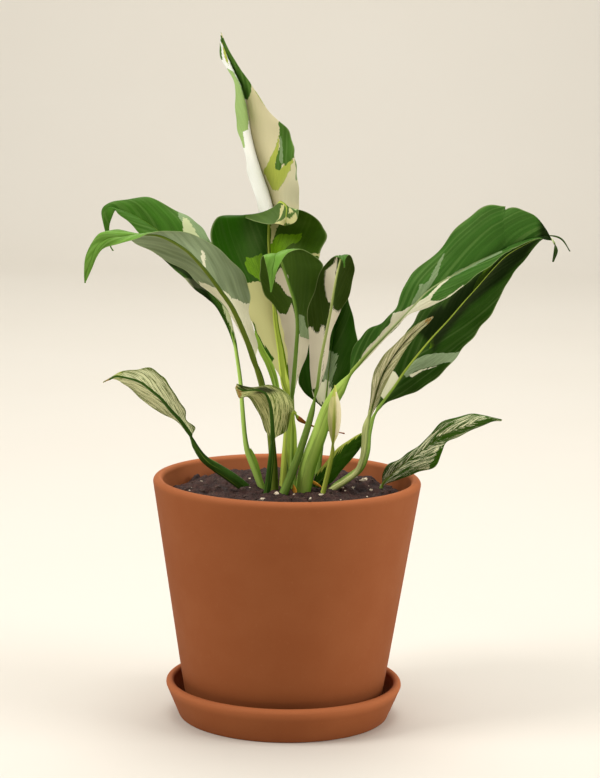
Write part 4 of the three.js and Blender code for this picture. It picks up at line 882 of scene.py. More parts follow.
def make_mix(settings, material):
    """The filling of the pot: rings r by angle a with z = mound + clods + crumbs, over a tapered plug."""
    rings, sides = 150, 420
    reach = pot_inner_radius(MIX_EDGE_HEIGHT) - 0.35
    radius = lift(reach * np.linspace(1 / rings, 1, rings))
    angle = np.linspace(0, 2 * math.pi, sides, endpoint=False)
    x, y = radius * np.cos(angle), radius * np.sin(angle)
    crumbs = 0.32 * np.sin(1.9 * x + 2.3 * np.sin(0.9 * y)) * np.sin(2.1 * y + 1.7 * np.sin(1.1 * x))
    fine = 0.18 * np.sin(4.7 * x + 1.3 * y) * np.sin(5.1 * y - 1.9 * x + 2 * np.sin(1.4 * x))
    edge = 1 - smoothstep(radius, 0.93 * reach, reach)
    clods = clod_height(x, y, settings.clods) * settings.roughness
    z = mix_height(x, y) - MIX_SINK + edge * (clods + crumbs + fine)
    floor = POT_BASE + POT_FLOOR + 0.3
    taper = floor + 6
    layers = [np.stack([x, y, z], -1).reshape(-1, 3)]
    walls = ((pot_inner_radius(taper) - 0.6, taper), (pot_inner_radius(floor) - 5, floor))
    for wall_radius, height in walls:
        ring = [wall_radius * np.cos(angle), wall_radius * np.sin(angle), np.full(sides, height)]
        layers.append(np.stack(ring, -1))
    points = np.concatenate([*layers, [[0, 0, z[0].mean()], [0, 0, floor]]])
    total = rings + len(walls)
    step = np.arange(sides)
    after = (step + 1) % sides
    last = (total - 1) * sides
    top = np.stack([np.full(sides, total * sides), step, after], -1)
    bottom = np.stack([np.full(sides, total * sides + 1), last + after, last + step], -1)
    faces = grid_faces(total, sides, close=True)[:, ::-1]
    return add_piece("mix", points, [faces, top, bottom], material, 75)


def ball_mesh():
    """A round pebble of 42 points: the corners of a twenty-sided solid and the middles of its edges."""
    golden = (1 + 5**0.5) / 2
    corners = [(-1, golden, 0), (1, golden, 0), (-1, -golden, 0), (1, -golden, 0)]
    corners += [(z, x, y) for x, y, z in corners] + [(y, z, x) for x, y, z in corners]
    corners = unit(np.array(corners, float))
    away = np.linalg.norm(corners[:, None] - corners[None], axis=-1)
    close = (away > 0) & (away < 1.1)
    points = list(corners)
    middles = {}

    def middle(a, b):
        key = (min(a, b), max(a, b))
        if key not in middles:
            middles[key] = len(points)
            points.append(unit(corners[a] + corners[b]))
        return middles[key]

    split = []
    for a, b, c in itertools.combinations(range(len(corners)), 3):
        if not (close[a, b] and close[b, c] and close[a, c]):
            continue
        if np.dot(np.cross(corners[b] - corners[a], corners[c] - corners[a]), corners[a]) < 0:
            b, c = c, b
        ab, bc, ca = middle(a, b), middle(b, c), middle(c, a)
        split += [(a, ab, ca), (b, bc, ab), (c, ca, bc), (ab, bc, ca)]
    return np.array(points), np.array(split)


def strewn(name, places, sizes, seed, material, sink):
    """Pebbles: a ball whose radius wanders by a fifth, flattened, turned and set at each place."""
    ball, split = ball_mesh()
    dice = np.random.default_rng(seed)
    count = len(places)
    wander = 1 + 0.22 * dice.standard_normal((count, len(ball), 1)).clip(-1.5, 1.5)
    shape = dice.uniform(0.65, 1.25, (count, 1, 3)) * np.array([1, 1, 0.7])
    turn = lift(dice.uniform(0, 2 * math.pi, count))
    pebbles = ball * wander * shape * sizes[:, None, None]
    cos, sin = np.cos(turn), np.sin(turn)
    x = pebbles[..., 0] * cos - pebbles[..., 1] * sin + places[:, 0:1]
    y = pebbles[..., 0] * sin + pebbles[..., 1] * cos + places[:, 1:2]
    z = pebbles[..., 2] + places[:, 2:3] - sink * lift(sizes)
    faces = (split + len(ball) * np.arange(count)[:, None, None]).reshape(-1, 3)
    return add_piece(name, np.stack([x, y, z], -1).reshape(-1, 3), [faces], material, 35)


def make_grains(settings):
    """Perlite and chips strewn evenly over the mix: radius R sqrt(p), any angle, on top of the clods."""
    dice = np.random.default_rng(5)
    reach = pot_inner_radius(MIX_EDGE_HEIGHT) - 4
    seen = np.array(SEEN_GRAINS, float)
    pieces = []
    for name, count, first, (small, large), dark, bright, sink in (
        ("perlite", settings.perlite, seen, (0.4, 1.0), (0.93, 0.88, 0.79), (0.80, 0.72, 0.60), 0.05),
        ("chips", settings.chips, seen[:0], (0.9, 2.4), (0.20, 0.14, 0.12), (0.32, 0.23, 0.19), 0.35),
    ):
        angle = dice.uniform(0, 2 * math.pi, count)
        out = reach * np.sqrt(dice.uniform(0.02, 1, count))
        x = np.concatenate([first[:, 0], out * np.cos(angle)])
        y = np.concatenate([first[:, 1], out * np.sin(angle)])
        size = np.concatenate([first[:, 2], small + (large - small) * dice.uniform(0, 1, count) ** 2])
        z = mix_height(x, y) - MIX_SINK + clod_height(x, y, settings.clods) * settings.roughness
        material = grain_material(name, dark, bright)
        pieces.append(strewn(name, np.stack([x, y, z], -1), size, 21 + len(name), material, sink))
    return pieces


# Leaves


def leaf_rows(leaf, midrib, between=12):
    """The places where a leaf's surface is worked out, in rows of its blade, and its curves read there.

    They are the middle line and its direction, the steps to both margins, how flat the section is, from 0
    for a round stalk to 1 for a blade, and the radius of the stalk and midrib.
    """
    stalk = np.array(leaf["stalk"], float)
    blade = np.array(leaf["blade"], float).reshape(-1, 3, 3)
    stalk_end, rows = len(stalk), len(stalk) + len(blade)
    span = unit(blade[0, 2] - blade[0, 1])
    middles = np.vstack([stalk[:, :3], blade[:, 0]])
    lefts = np.vstack([-span * stalk[:, 3:], blade[:, 1]])
    rights = np.vstack([span * stalk[:, 3:], blade[:, 2]])
    along = np.linspace(0, 1, len(blade))
    radii = np.concatenate([stalk[:, 3], stalk[-1, 3] * (midrib.foot - midrib.loss * along**midrib.power)])
    places = np.linspace(0, rows - 1, (rows - 1) * between + 1)
    ahead = curve_through(middles, np.minimum(places + 0.05, rows - 1))
    direction = unit(ahead - curve_through(middles, np.maximum(places - 0.05, 0)))
    left, right = curve_through(lefts, places), curve_through(rights, places)
    flat = lift(smoothstep(places, stalk_end - 1, stalk_end + 1))
    radius = lift(np.interp(places, np.arange(rows), radii))
    across = right - left
    across = unit(across - direction * (across * direction).sum(-1, keepdims=True))
    least = np.maximum(THINNEST, (1 - flat) * radius)
    short_left = (flat == 0) | (np.linalg.norm(left, axis=-1, keepdims=True) < least)
    short_right = (flat == 0) | (np.linalg.norm(right, axis=-1, keepdims=True) < least)
    left = np.where(short_left, -across * least, left)
    right = np.where(short_right, across * least, right)
    return places - stalk_end, curve_through(middles, places), direction, left, right, flat, radius


def by_side(share, left, right):
    """Of two values per row, the first for points left of the midrib and the second for the others."""
    return np.where(share < 0, lift(left), lift(right))


def mark_field(outline, place, share, length, reach_left, reach_right):
    """How far each point of a blade lies inside a mark's outline, in millimetres along the blade.

    The outline is a list of (row, share of the half width). Its sides are cut into six, then rows become
    lengths along the midrib and shares become widths, so that distances are even over the whole leaf.
    """
    corners = np.array(outline + outline[:1], float)
    places = np.linspace(0, len(outline), 6 * len(outline), endpoint=False)
    rows, shares = (np.interp(places, np.arange(len(corners)), corners[:, axis]) for axis in (0, 1))
    corner_reach = [np.interp(rows, place, reach) for reach in (reach_left, reach_right)]
    corner_x = np.interp(rows, place, length)
    corner_y = shares * np.where(shares < 0, *corner_reach)
    x, y = lift(length), share * by_side(share, reach_left, reach_right)
    nearest = np.full(share.shape, 1e9)
    inside = np.zeros(share.shape, bool)
    for ax, ay, bx, by in zip(corner_x, corner_y, np.roll(corner_x, -1), np.roll(corner_y, -1)):
        side = (bx - ax) ** 2 + (by - ay) ** 2 + 1e-9
        part = np.clip(((x - ax) * (bx - ax) + (y - ay) * (by - ay)) / side, 0, 1)
        nearest = np.minimum(nearest, np.hypot(x - ax - part * (bx - ax), y - ay - part * (by - ay)))
        inside ^= ((ay > y) != (by > y)) & (x < (bx - ax) * (y - ay) / (by - ay + 1e-12) + ax)
    return np.where(inside, nearest, -nearest)


def leaf_marks(name, place, share, length, reach_left, reach_right, vein):
    """How far each point lies inside each kind of mark of one leaf, with teeth that follow the veins.

    A mark is cut out of the marks painted before it. A shade leaves the marks alone.
    """
    fields = {mark: np.full(share.shape, -30.0) for mark in (*MARK_NAMES, *SHADE_NAMES)}
    seed = name_seed(name)
    teeth = (1.0 * ripple(vein * 1.3, seed) + 0.4 * ripple(vein * 3.1, seed + 1)) * RAGGED.get(name, 1.0)
    for mark, outline in MARKS.get(name, []):
        field = mark_field(outline, place, share, length, reach_left, reach_right) + teeth
        fields[mark] = np.maximum(fields[mark], field)
        if mark in MARK_NAMES:
            for other in set(MARK_NAMES) - {mark}:
                fields[other] = np.minimum(fields[other], -field)
    return fields


def margin_trim(leaf, place, share, length, reach, margin, seed):
    """How far the margins are let out or cut back, as a share of the half width.

    A ripple runs along each side. A nick cuts into the left margin and dies away with e^(-rows past it /
    NICK_LENGTH).
    """
    scallop = by_side(share, ripple(length / SCALLOPS, seed + 3), ripple(length / SCALLOPS, seed + 5))
    trim = 0.6 * margin * scallop / np.maximum(reach, SCALLOP_REACH)
    if "nick" in leaf:
        start, depth = leaf["nick"]
        past = lift(place) - start
        trim = trim - depth * (past >= 0) * np.exp(-np.maximum(past, 0) / NICK_LENGTH) * (share < 0)
    return trim


def leaf_surface(name, leaf, settings, half_columns=28):
    """Both faces of a leaf over rows u and shares v of its half width, from -1 at the left to 1.

    A point is middle(u) + |v| side(u), bowed up by 4 k |v| (1 - |v|), with k as BOW times the half width.
    Along the stalk the section turns into a circle. The faces lie half a thickness above and below. The
    midrib is a round ridge r e^(-(d / r)^2) under the blade, with a groove over it. The veins are shallow
    waves along lines that leave it forwards, and the margins wave up and outwards.
    """
    midrib = MIDRIBS.get(name, PLAIN_MIDRIB)
    place, middle, direction, left, right, flat, radius = leaf_rows(leaf, midrib)
    columns = 2 * half_columns + 1
    turn = math.pi * (np.arange(columns) + 0.5) / columns
    share = -np.cos(turn) * (1 - flat) + np.linspace(-1, 1, columns) * flat
    size = np.abs(share)
    on_left = lift(share < 0)
    half = np.where(on_left, left[:, None], right[:, None])
    up = unit(np.cross(np.where(on_left, -1, 1) * half, direction[:, None]))
    reach, reach_left, reach_right = (np.linalg.norm(steps, axis=-1) for steps in (half, left, right))
    length = np.concatenate([[0], np.cumsum(np.linalg.norm(np.diff(middle, axis=0), axis=-1))])
    length -= np.interp(0, place, length)
    seed = name_seed(name)
    body = leaf.get("body", 0)
    tip_calm = 1 - smoothstep(lift(place), place[-1] - 2.5, place[-1] - 0.3)
    calm = flat * smoothstep(lift(place), 0.6, 2.5) * tip_calm * (body == 0)
    margin = settings.margin_wave / MM * calm
    bow = 4 * BOW * reach * size * (1 - size) * flat
    trim = margin_trim(leaf, place, share, length, reach, margin, seed)
    sheet = middle[:, None] + half * lift(size * (1 + trim * size**6)) + up * lift(bow)
    normal = unit(np.cross(np.gradient(sheet, axis=1), np.gradient(sheet, axis=0)))
    aside = size * reach
    vein = lift(length) - VEIN_LEAN * aside - VEIN_BEND * aside**2 / np.maximum(reach, 1)
    wave = by_side(share, ripple(length / MARGIN_WAVES, seed), ripple(length / MARGIN_WAVES, seed + 9))
    quilt = np.cos(2 * math.pi * vein / QUILTING) * np.sin(math.pi * np.clip(size, 0, 1)) ** 0.7
    quilt_height = settings.vein_relief / MM * min(1, 2 * TINTS[name].veins)
    relief = margin * wave * size**3 * np.minimum(reach / WAVE_REACH, 1)
    relief = relief + calm * quilt_height * quilt * np.minimum(reach / QUILT_REACH, 1)
    roll = np.sin(turn)
    thick = settings.thickness / MM / 2 * (1 - SLIMMED * size**6)
    thick = thick + body * lift((reach_left + reach_right) / 2) * roll
    ridge = radius * np.exp(-((aside / np.maximum(radius, THINNEST)) ** 2))
    above = radius * roll * (1 - flat) + (thick + midrib.groove * ridge * (body == 0)) * flat
    below = radius * roll * (1 - flat) + (thick + ridge) * flat
    upper, under = sheet + normal * lift(relief + above), sheet + normal * lift(relief - below)
    rib_paint = 1 + (midrib.paint - 1) * (1 - smoothstep(lift(place), *RIB_PAINT_END))
    signed = np.where(share < 0, -aside, aside)
    return {
        "points": np.stack([upper, under]),
        "length": lift(length) + 0 * share,
        "signed": signed,
        "vein": vein,
        "share": share,
        "place": lift(place) + 0 * share,
        "flat": flat + 0 * share,
        "rib": radius * rib_paint - aside,
        # How far each point looks towards LIGHT_SIDE, for the painted light and shade on the stalk and
        # midrib.
        "light_facing": np.stack([unit(face - middle[:, None]) @ LIGHT_SIDE for face in (upper, under)]),
        "rib_facing": signed / np.maximum(radius, THINNEST) * lift(unit(right - left) @ LIGHT_SIDE),
        "marks": leaf_marks(name, place, share, length, reach_left, reach_right, vein),
    }


def stalk_colours(tint, light_facing):
    """A stalk's colour: paler and yellower towards LIGHT_SIDE, darker away from it, as painted light and
    shade.
    """
    light = lift(smoothstep(light_facing.reshape(-1), -0.75, 0.9))
    colour = from_screen(COLOURS[tint])
    pale = 1.4 * colour + colour[1] * np.array([0.30, 0.27, 0.20])
    return (1 - light) * colour * (0.30, 0.40, 0.18) + light * pale


def closed_sheet_faces(rows, columns):
    """Faces of two grids set face to face, the second's points after the first's, and strips round them."""
    upper = grid_faces(rows, columns)
    count = rows * columns
    down, across = np.arange(rows - 1) * columns, np.arange(columns - 1)
    last, end = down + columns - 1, across + (rows - 1) * columns
    sides = [(down + count, down), (last, last + count)]
    ends = [(across + count, across), (end, end + count)]
    rims = [np.stack([a, b, b + columns, a + columns], -1) for a, b in sides]
    rims += [np.stack([a, a + 1, b + 1, b], -1) for a, b in ends]
    return [upper, upper[:, ::-1] + count, *rims]


def make_leaf(name, settings, material):
    """One leaf as a closed sheet, with the numbers that its material reads at every point."""
    surface = leaf_surface(name, {**LEAVES, **SHEATHS}[name], settings)
    rows, columns = surface["share"].shape
    full_name = f"{name}_dressed" if name in LEAVES else name
    faces = closed_sheet_faces(rows, columns)
    piece = add_piece(full_name, surface["points"].reshape(-1, 3), faces, material, 50)

    def twice(field):
        """A field's values for the upper face, then the same for the underside."""
        return np.tile(field.reshape(-1), 2)

    tints = TINTS[name]
    marks = {mark: twice(field) for mark, field in surface["marks"].items()}
    under = np.repeat([0.0, 1.0], rows * columns)
    vein, signed, length, share = (twice(surface[field]) for field in ("vein", "signed", "length", "share"))
    # The midrib gets painted light on its side towards LIGHT_SIDE and painted shade on the other, like the
    # stalk.
    rib_facing = twice(np.clip(surface["rib_facing"] * 1.2, -1, 1))
    up_blade = lift(smoothstep(twice(surface["place"]), 0.0, 4.0))
    rib_tones = [stalk_colours(tint, rib_facing) for tint in (tints.stalk, tints.rib)]

    def halves(left, right):
        """One colour left of the midrib and another right of it."""
        return np.where(lift(share < 0), from_screen(COLOURS[left]), from_screen(COLOURS[right]))

    upper_face = halves(tints.upper, RIGHT_HALVES.get(name, tints.upper))
    fields = {
        "face_colour": np.where(lift(under > 0), from_screen(COLOURS[tints.under]), upper_face),
        "cream_colour": halves(tints.left, tints.right),
        "stalk_colour": stalk_colours(tints.stalk, surface["light_facing"]),
        "rib_colour": (1 - up_blade) * rib_tones[0] + up_blade * rib_tones[1],
        "vein": np.stack([vein + name_seed(name) % 97, np.abs(signed), length], -1),
        "marks": np.stack([marks["cream"], marks["frost"], marks["lime"]], -1),
        "more_marks": np.stack([marks["light"], marks["dry"], marks["glow"]], -1),
        "shades": np.stack([marks["dusk"], marks["bare"], 0 * under + RAGGED.get(name, 1.0)], -1),
        "bloom": marks["bloom"],
        "tone": np.stack(
            [twice(surface["rib"]), np.where(share < 0, tints.left_flecks, tints.right_flecks), under], -1
        ),
        "blade": np.stack([twice(surface["flat"]), 0 * under + tints.veins, share], -1),
    }
    for field, values in fields.items():
        write_attribute(piece, field, values)
    flat_map = np.stack([length / MAP_SPAN, signed / MAP_SPAN + 0.25 + 0.5 * under], -1)
    corner = np.empty(len(piece.data.loops), np.int32)
    piece.data.loops.foreach_get("vertex_index", corner)
    layer = piece.data.uv_layers.new(name="blade")
    layer.data.foreach_set("uv", flat_map[corner].astype(np.float32).reshape(-1))
    return piece


# Materials


class Wire:
    """A value on its way between a material's nodes. Each sum, product or comparison adds a Math node."""

    def __init__(self, paint, socket):
        self.paint = paint
        self.socket = socket

    def __add__(self, other):
        return self.paint.math("ADD", self, other)

    def __sub__(self, other):
        return self.paint.math("SUBTRACT", self, other)

    def __mul__(self, other):
        return self.paint.math("MULTIPLY", self, other)

    def __gt__(self, other):
        return self.paint.math("GREATER_THAN", self, other)

    def __lt__(self, other):
        return self.paint.math("LESS_THAN", self, other)

    def __abs__(self):
        return self.paint.math("ABSOLUTE", self)


class Paint:
    """A material's nodes, made and joined by short calls. A value is a number, a colour or a Wire."""

    def __init__(self, name):
        self.material = bpy.data.materials.new(name)
        self.material.use_nodes = True
        self.tree = self.material.node_tree
        self.shader = self.tree.nodes["Principled BSDF"]

    def fill(self, socket, value):
        """Join a wire to a socket, or set the socket's own value."""
        if isinstance(value, Wire):
            self.tree.links.new(value.socket, socket)
        else:
            socket.default_value = value

    def node(self, kind, inputs, output=0, **choices):
        """A new node with its choices made and its inputs filled."""
        node = self.tree.nodes.new("ShaderNode" + kind)
        for choice, value in choices.items():
            setattr(node, choice, value)
        for key, value in inputs.items():
            self.fill(node.inputs[key], value)
        return Wire(self, node.outputs[output])

    def surface(self, colour, roughness, shine=0.5):
        """Set the shader's colour, roughness and shine."""
        values = {"Base Color": colour, "Roughness": roughness, "Specular IOR Level": shine}
        for name, value in values.items():
            self.fill(self.shader.inputs[name], value)

    def bumped(self, height, strength, distance):
        """Give the shader its bump, and return the material."""
        normal = self.node("Bump", {"Height": height, "Strength": strength, "Distance": distance})
        self.fill(self.shader.inputs["Normal"], normal)
        return self.material

    def attribute(self, name, output="Vector"):
        """What is stored at the piece's points under a name."""
        return self.node("Attribute", {}, output, attribute_name=name)

    def parts(self, vector):
        """The three numbers of a vector."""
        split = self.node("SeparateXYZ", {0: vector}).socket.node
        return [Wire(self, output) for output in split.outputs]

    def place(self, x, y, z):
        """A vector of three numbers."""
        return self.node("CombineXYZ", {0: x, 1: y, 2: z})

    def math(self, kind, a, b=0.0):
        """One Math node."""
        return self.node("Math", {0: a, 1: b}, operation=kind)

    def step(self, value, low, high, to_low=0.0, to_high=1.0):
        """to_low at low, to_high at high, and a smooth step between them."""
        inputs = {"Value": value, "From Min": low, "From Max": high, "To Min": to_low, "To Max": to_high}
        return self.node("MapRange", inputs, interpolation_type="SMOOTHSTEP")

    def mix(self, share, first, second):
        """The first colour at share 0 and the second at share 1."""
        return self.node("Mix", {0: share, 6: first, 7: second}, 2, data_type="RGBA")

    def noise(self, vector, scale, detail, roughness=0.5):
        """Soft noise from 0 to 1."""
        inputs = {"Vector": vector, "Scale": scale, "Detail": detail, "Roughness": roughness}
        return self.node("TexNoise", inputs)

    def object_place(self):
        """The place on the piece in its own frame, in metres."""
        return self.node("TexCoord", {}, "Object")


class LeafPaint(Paint):
    """A leaf's nodes, with the numbers stored at its points. Everything follows the leaf's own veins."""

    def __init__(self, name):
        super().__init__(name)
        self.face, self.stalk, self.rib_colour, self.pale = (
            self.attribute(f"{kind}_colour", "Color") for kind in ("face", "stalk", "rib", "cream")
        )
        self.vein, self.aside, self.length = self.parts(self.attribute("vein"))
        self.cream, self.frost, self.lime = self.parts(self.attribute("marks"))
        self.light, self.dry, self.glow = self.parts(self.attribute("more_marks"))
        self.rib, self.fleck, self.under = self.parts(self.attribute("tone"))
        self.blade, self.veins, self.side = self.parts(self.attribute("blade"))
        self.dusk, self.bare, ragged = self.parts(self.attribute("shades"))
        self.line = self.vein + ((self.side > 0.0) * 40.0 + self.under * 17.0)
        self.along_vein = self.place(self.line, self.aside * 0.14, self.length * 0.03)
        self.fray = (self.noise(self.along_vein, 1.6, 4.0, 0.6) * 1.5 - 0.75) * ragged
        self.fine = self.noise(self.along_vein, 2.4, 3.0, 0.6)
        self.broad = self.noise(self.place(self.line * 0.06, self.aside * 0.10, 5.0), 1.0, 2.0)
        self.wander = self.noise(self.along_vein, 0.10, 2.0) * 9.0
        self.wave = self.stripes(MAIN_VEINS)
        strength = self.noise(self.along_vein, 0.055, 1.0)
        self.strong = self.veins * self.step(strength, 0.38, 0.62, 0.25, 1.0)
        self.main_vein = self.step(self.wave, -0.15, -1.0) * self.strong
        self.small_vein = self.step(self.stripes(SMALL_VEINS), 0.2, 1.0)
        self.slant = self.aside * -1.5 + self.line
        lengthwise = self.place(self.side * 2.2, self.under * 3.0, self.length * 0.03)
        self.fibres = self.noise(lengthwise, 1.0, 3.0)

    def stripes(self, gap):
        """Stripes along the veins, from -1 to 1: cos(2 pi vein / gap + wander)."""
        return self.math("COSINE", self.vein * (2 * math.pi / gap) + self.wander)

    def green(self):
        """The bare green: darker in patches, with painted shade between veins, paler on them, dark veined
        underneath.
        """
        deep = self.mix(0.35, self.face, linear((0.10, 0.20, 0.02)))
        green = self.mix(self.step(self.broad, 0.3, 0.7), self.face, deep)
        # Painted shade in the swellings between the main veins.
        swell = self.step(self.wave, -1.0, 1.0) * (self.strong * 0.34)
        green = self.mix(swell, green, linear((0.12, 0.24, 0.03)))
        green = self.mix(self.step(self.fine, 0.5, 0.8) * 0.16, green, linear((0.42, 0.56, 0.20)))
        pale_line = self.mix(0.55, self.face, linear((0.66, 0.76, 0.46)))
        green = self.mix(self.main_vein * self.step(self.under, 0.0, 1.0, 0.34, 0.22), green, pale_line)
        green = self.mix(self.small_vein * self.step(self.broad, 0.40, 0.65, 0.0, 0.07), green, pale_line)
        thin_vein = self.step(self.stripes(THIN_VEINS), 0.55, 1.0, 0.0, 0.42)
        green = self.mix(thin_vein * self.under * self.strong, green, linear((0.27, 0.34, 0.17)))
        rim = self.step(abs(self.side), 0.965, 0.995, 0.0, 0.30)
        return self.mix(rim, green, linear((0.72, 0.78, 0.52)))

    def cream_tone(self):
        """The cream of the pale parts, a little greener along the veins."""
        return self.mix(self.step(self.fine, 0.45, 0.75) * 0.2, self.pale, linear((0.76, 0.77, 0.55)))

    def veiled(self, screen, low, high, least, most):
        """The face under a veil of another colour, thicker where the fine noise is higher."""
        return self.mix(self.step(self.fine, low, high, least, most), self.face, linear(screen))

    def grey_tone(self):
        """The grey-green of frosted parts."""
        return self.veiled((0.64, 0.71, 0.55), 0.35, 0.7, 0.4, 0.8)

    def with_marks(self, colour):
        """Each mark painted over those before it, with frayed edges."""
        for field, tone in (
            (self.glow, self.veiled((0.46, 0.64, 0.08), 0.35, 0.65, 0.3, 1.0)),
            (self.light, self.veiled((0.68, 0.79, 0.50), 0.3, 0.7, 0.6, 0.95)),
            (self.lime, self.veiled((0.74, 0.77, 0.34), 0.3, 0.7, 0.7, 1.0)),
            (self.frost, self.grey_tone()),
            (self.cream, self.cream_tone()),
        ):
            colour = self.mix(self.step(field + self.fray, -0.12, 0.12), colour, tone)
        return colour

    def grainy(self, across, outwards, start, detail, roughness=0.5):
        """Noise whose grain leans forwards with the veins."""
        place = self.place(self.slant * across, self.aside * outwards, start)
        return self.noise(place, 1.0, detail, roughness)

    def with_flecks(self, colour):
        """Cream flecks with grey rims, dark threads and hairlines along the veins of a mottled leaf."""
        flecked = self.step(self.fleck, 0.0, 0.05)
        sparse = self.step(self.bare + self.fray, -0.3, 0.3, 0.0, 0.11)
        margin = self.step(abs(self.side), 0.72, 1.0, 0.0, 0.10) + sparse
        limit = self.fleck * -0.30 + (self.grainy(0.10, 0.13, 3.0, 2.0) * 0.30 + 0.50 + margin)
        over = self.grainy(0.5, 0.42, 1.0, 6.0, 0.72) - limit
        colour = self.mix(self.step(over, -0.14, -0.02, 0.0, 0.25) * flecked, colour, self.grey_tone())
        colour = self.mix(self.step(over, -0.025, 0.025) * flecked, colour, self.cream_tone())
        threads = self.grainy(0.75, 0.12, 7.0, 3.0, 0.6)
        colour = self.mix(self.step(threads, 0.58, 0.64, 0.0, 0.6) * flecked, colour, self.face)
        hair = self.step(abs(self.grainy(0.34, 0.10, 9.0, 2.0) - 0.5), 0.034, 0.012)
        return self.mix(hair * flecked, colour, self.mix(0.6, self.face, linear((0.20, 0.27, 0.04))))

    def with_midrib(self, colour):
        """Painted shade first, then the midrib over it, with faint fibres."""
        # Painted shade: a near-black green where other leaves would shade this one.
        shade = self.step(self.dusk + self.fray, -2.5, 2.0, 0.0, 0.92)
        colour = self.mix(shade, colour, linear((0.02, 0.07, 0.01)))
        rib_reach = self.rib + self.step(self.under, 0.0, 1.0, -0.35, 0.1)
        fibres = self.step(self.fibres, 0.35, 0.65, 0.0, 0.2)
        rib_tone = self.mix(fibres, self.rib_colour, linear((0.22, 0.36, 0.05)))
        return self.mix(self.step(rib_reach, -0.15, 0.15), colour, rib_tone)

    def with_age(self, colour):
        """A painted highlight that pales the leaf, and dry brown parts."""
        bloom = self.attribute("bloom", "Fac")
        # Painted highlight: a soft pale lightening where light would fall strongest on the leaf.
        colour = self.mix(self.step(bloom, -2.5, 4.0, 0.0, 0.3), colour, linear((0.80, 0.81, 0.70)))
        brown = self.mix(self.fine, linear((0.42, 0.34, 0.18)), linear((0.70, 0.54, 0.30)))
        return self.mix(self.step(self.dry + self.fray, -0.4, 0.6), colour, brown)

    def stalk_tone(self):
        """The stalk, with darker and paler fibres along it."""
        dark = self.mix(0.4, self.stalk, linear((0.14, 0.27, 0.02)))
        tone = self.mix(self.step(self.fibres, 0.50, 0.70), self.stalk, dark)
        return self.mix(self.step(self.fibres, 0.46, 0.28, 0.0, 0.35), tone, linear((0.66, 0.80, 0.30)))


def leaf_material(name):
    """Leaf: veined green, marks, flecks, painted shade, midrib, painted highlight, dry parts, and its own
    stalk.
    """
    paint = LeafPaint(name)
    colour = paint.green()
    for layer in (paint.with_marks, paint.with_flecks, paint.with_midrib, paint.with_age):
        colour = layer(colour)
    colour = paint.mix(paint.step(paint.blade, 0.02, 0.5), paint.stalk_tone(), colour)
    gloss = paint.step(paint.under, 0.0, 1.0, 0.36, 0.55) + paint.fine * 0.10
    ridges = (paint.small_vein * 0.6 + paint.fine * 0.5 + paint.main_vein * -0.8) * paint.veins
    paint.surface(colour, gloss, 0.16)
    paint.fill(paint.shader.inputs["Specular Tint"], linear((0.85, 0.92, 0.55)))
    return paint.bumped(ridges, 0.35, 0.00022)


def clay_material(settings):
    """Terracotta: two close tones in soft blotches, fine grains, faint turning lines, and painted light on
    the lips and inner wall.
    """
    paint = Paint("clay")
    place = paint.object_place()
    x, y, z = paint.parts(place)
    blotch = paint.noise(place, 28.0, 4.0, 0.6)
    grain = paint.noise(place, 1500.0, 2.0, 0.6)
    speck = paint.noise(place, 420.0, 3.0, 0.7)
    turning = paint.noise(paint.place(x * 0.02, y * 0.02, z), 520.0, 2.0)
    colour = paint.mix(paint.step(blotch, 0.3, 0.7), (*settings.clay, 1), (*settings.clay_shade, 1))
    colour = paint.mix(paint.step(speck, 0.58, 0.80, 0.0, 0.22), colour, linear((0.66, 0.42, 0.27)))
    colour = paint.mix(paint.step(grain, 0.55, 0.85, 0.0, 0.20), colour, linear((0.48, 0.24, 0.13)))
    # Painted light: the inner wall is painted paler against the shade inside the pot, and the lips of pot and
    # saucer as painted highlights.
    away = paint.math("SQRT", x * x + y * y)
    depth = z * POT_SLOPE + (POT_FOOT_RADIUS - POT_SLOPE * POT_BASE) * MM - away
    inside = paint.step(depth, 0.4 * POT_WALL * MM, 0.8 * POT_WALL * MM)
    lip = paint.step(z, (POT_HEIGHT - 5) * MM, POT_HEIGHT * MM, 0.0, 0.55)
    saucer_foot = SAUCER_FOOT_RADIUS * MM
    saucer_wall = paint.step(away, 1.04 * saucer_foot, 1.07 * saucer_foot, 0.0, 0.7)
    saucer_lip = paint.step(z, (SAUCER_HEIGHT - 8) * MM, (SAUCER_HEIGHT - 2) * MM) * (z < 0.03)
    painted_light = paint.math("MAXIMUM", paint.math("MAXIMUM", inside, lip), saucer_wall * saucer_lip)
    colour = paint.mix(painted_light, colour, linear((0.71, 0.42, 0.26)))
    paint.surface(colour, paint.step(blotch, 0.2, 0.8, 0.62, 0.78), 0.1)
    return paint.bumped(grain * 0.5 + turning * 0.5, 0.25, 0.0002)


def mix_material(settings):
    """Potting mix: near-black crumbs with browner clods, and a damp gleam on some of them."""
    paint = Paint("potting_mix")
    place = paint.object_place()
    clod = paint.noise(place, 180.0, 5.0, 0.65)
    crumb = paint.noise(place, 900.0, 4.0, 0.7)
    fibre = paint.node("TexVoronoi", {"Vector": place, "Scale": 520.0})
    colour = paint.mix(paint.step(clod, 0.35, 0.68), (*settings.dark, 1), (*settings.brown, 1))
    colour = paint.mix(paint.step(crumb, 0.52, 0.75, 0.0, 0.7), colour, linear((0.42, 0.31, 0.27)))
    colour = paint.mix(paint.step(fibre, 0.0, 0.35, 0.5, 0.0), colour, linear((0.07, 0.05, 0.05)))
    paint.surface(colour, paint.step(clod, 0.3, 0.7, 0.50, 0.9), 0.2)
    return paint.bumped(crumb * 0.7 + clod * 0.6, 0.8, 0.0012)


def grain_material(name, first, second):
    """Small loose grains: two tones mixed by noise, with a pitted surface."""
    paint = Paint(name)
    pits = paint.noise(paint.object_place(), 900.0, 4.0, 0.65)
    paint.surface(paint.mix(paint.step(pits, 0.3, 0.7), linear(first), linear(second)), 0.85)
    return paint.bumped(pits, 0.5, 0.0004)


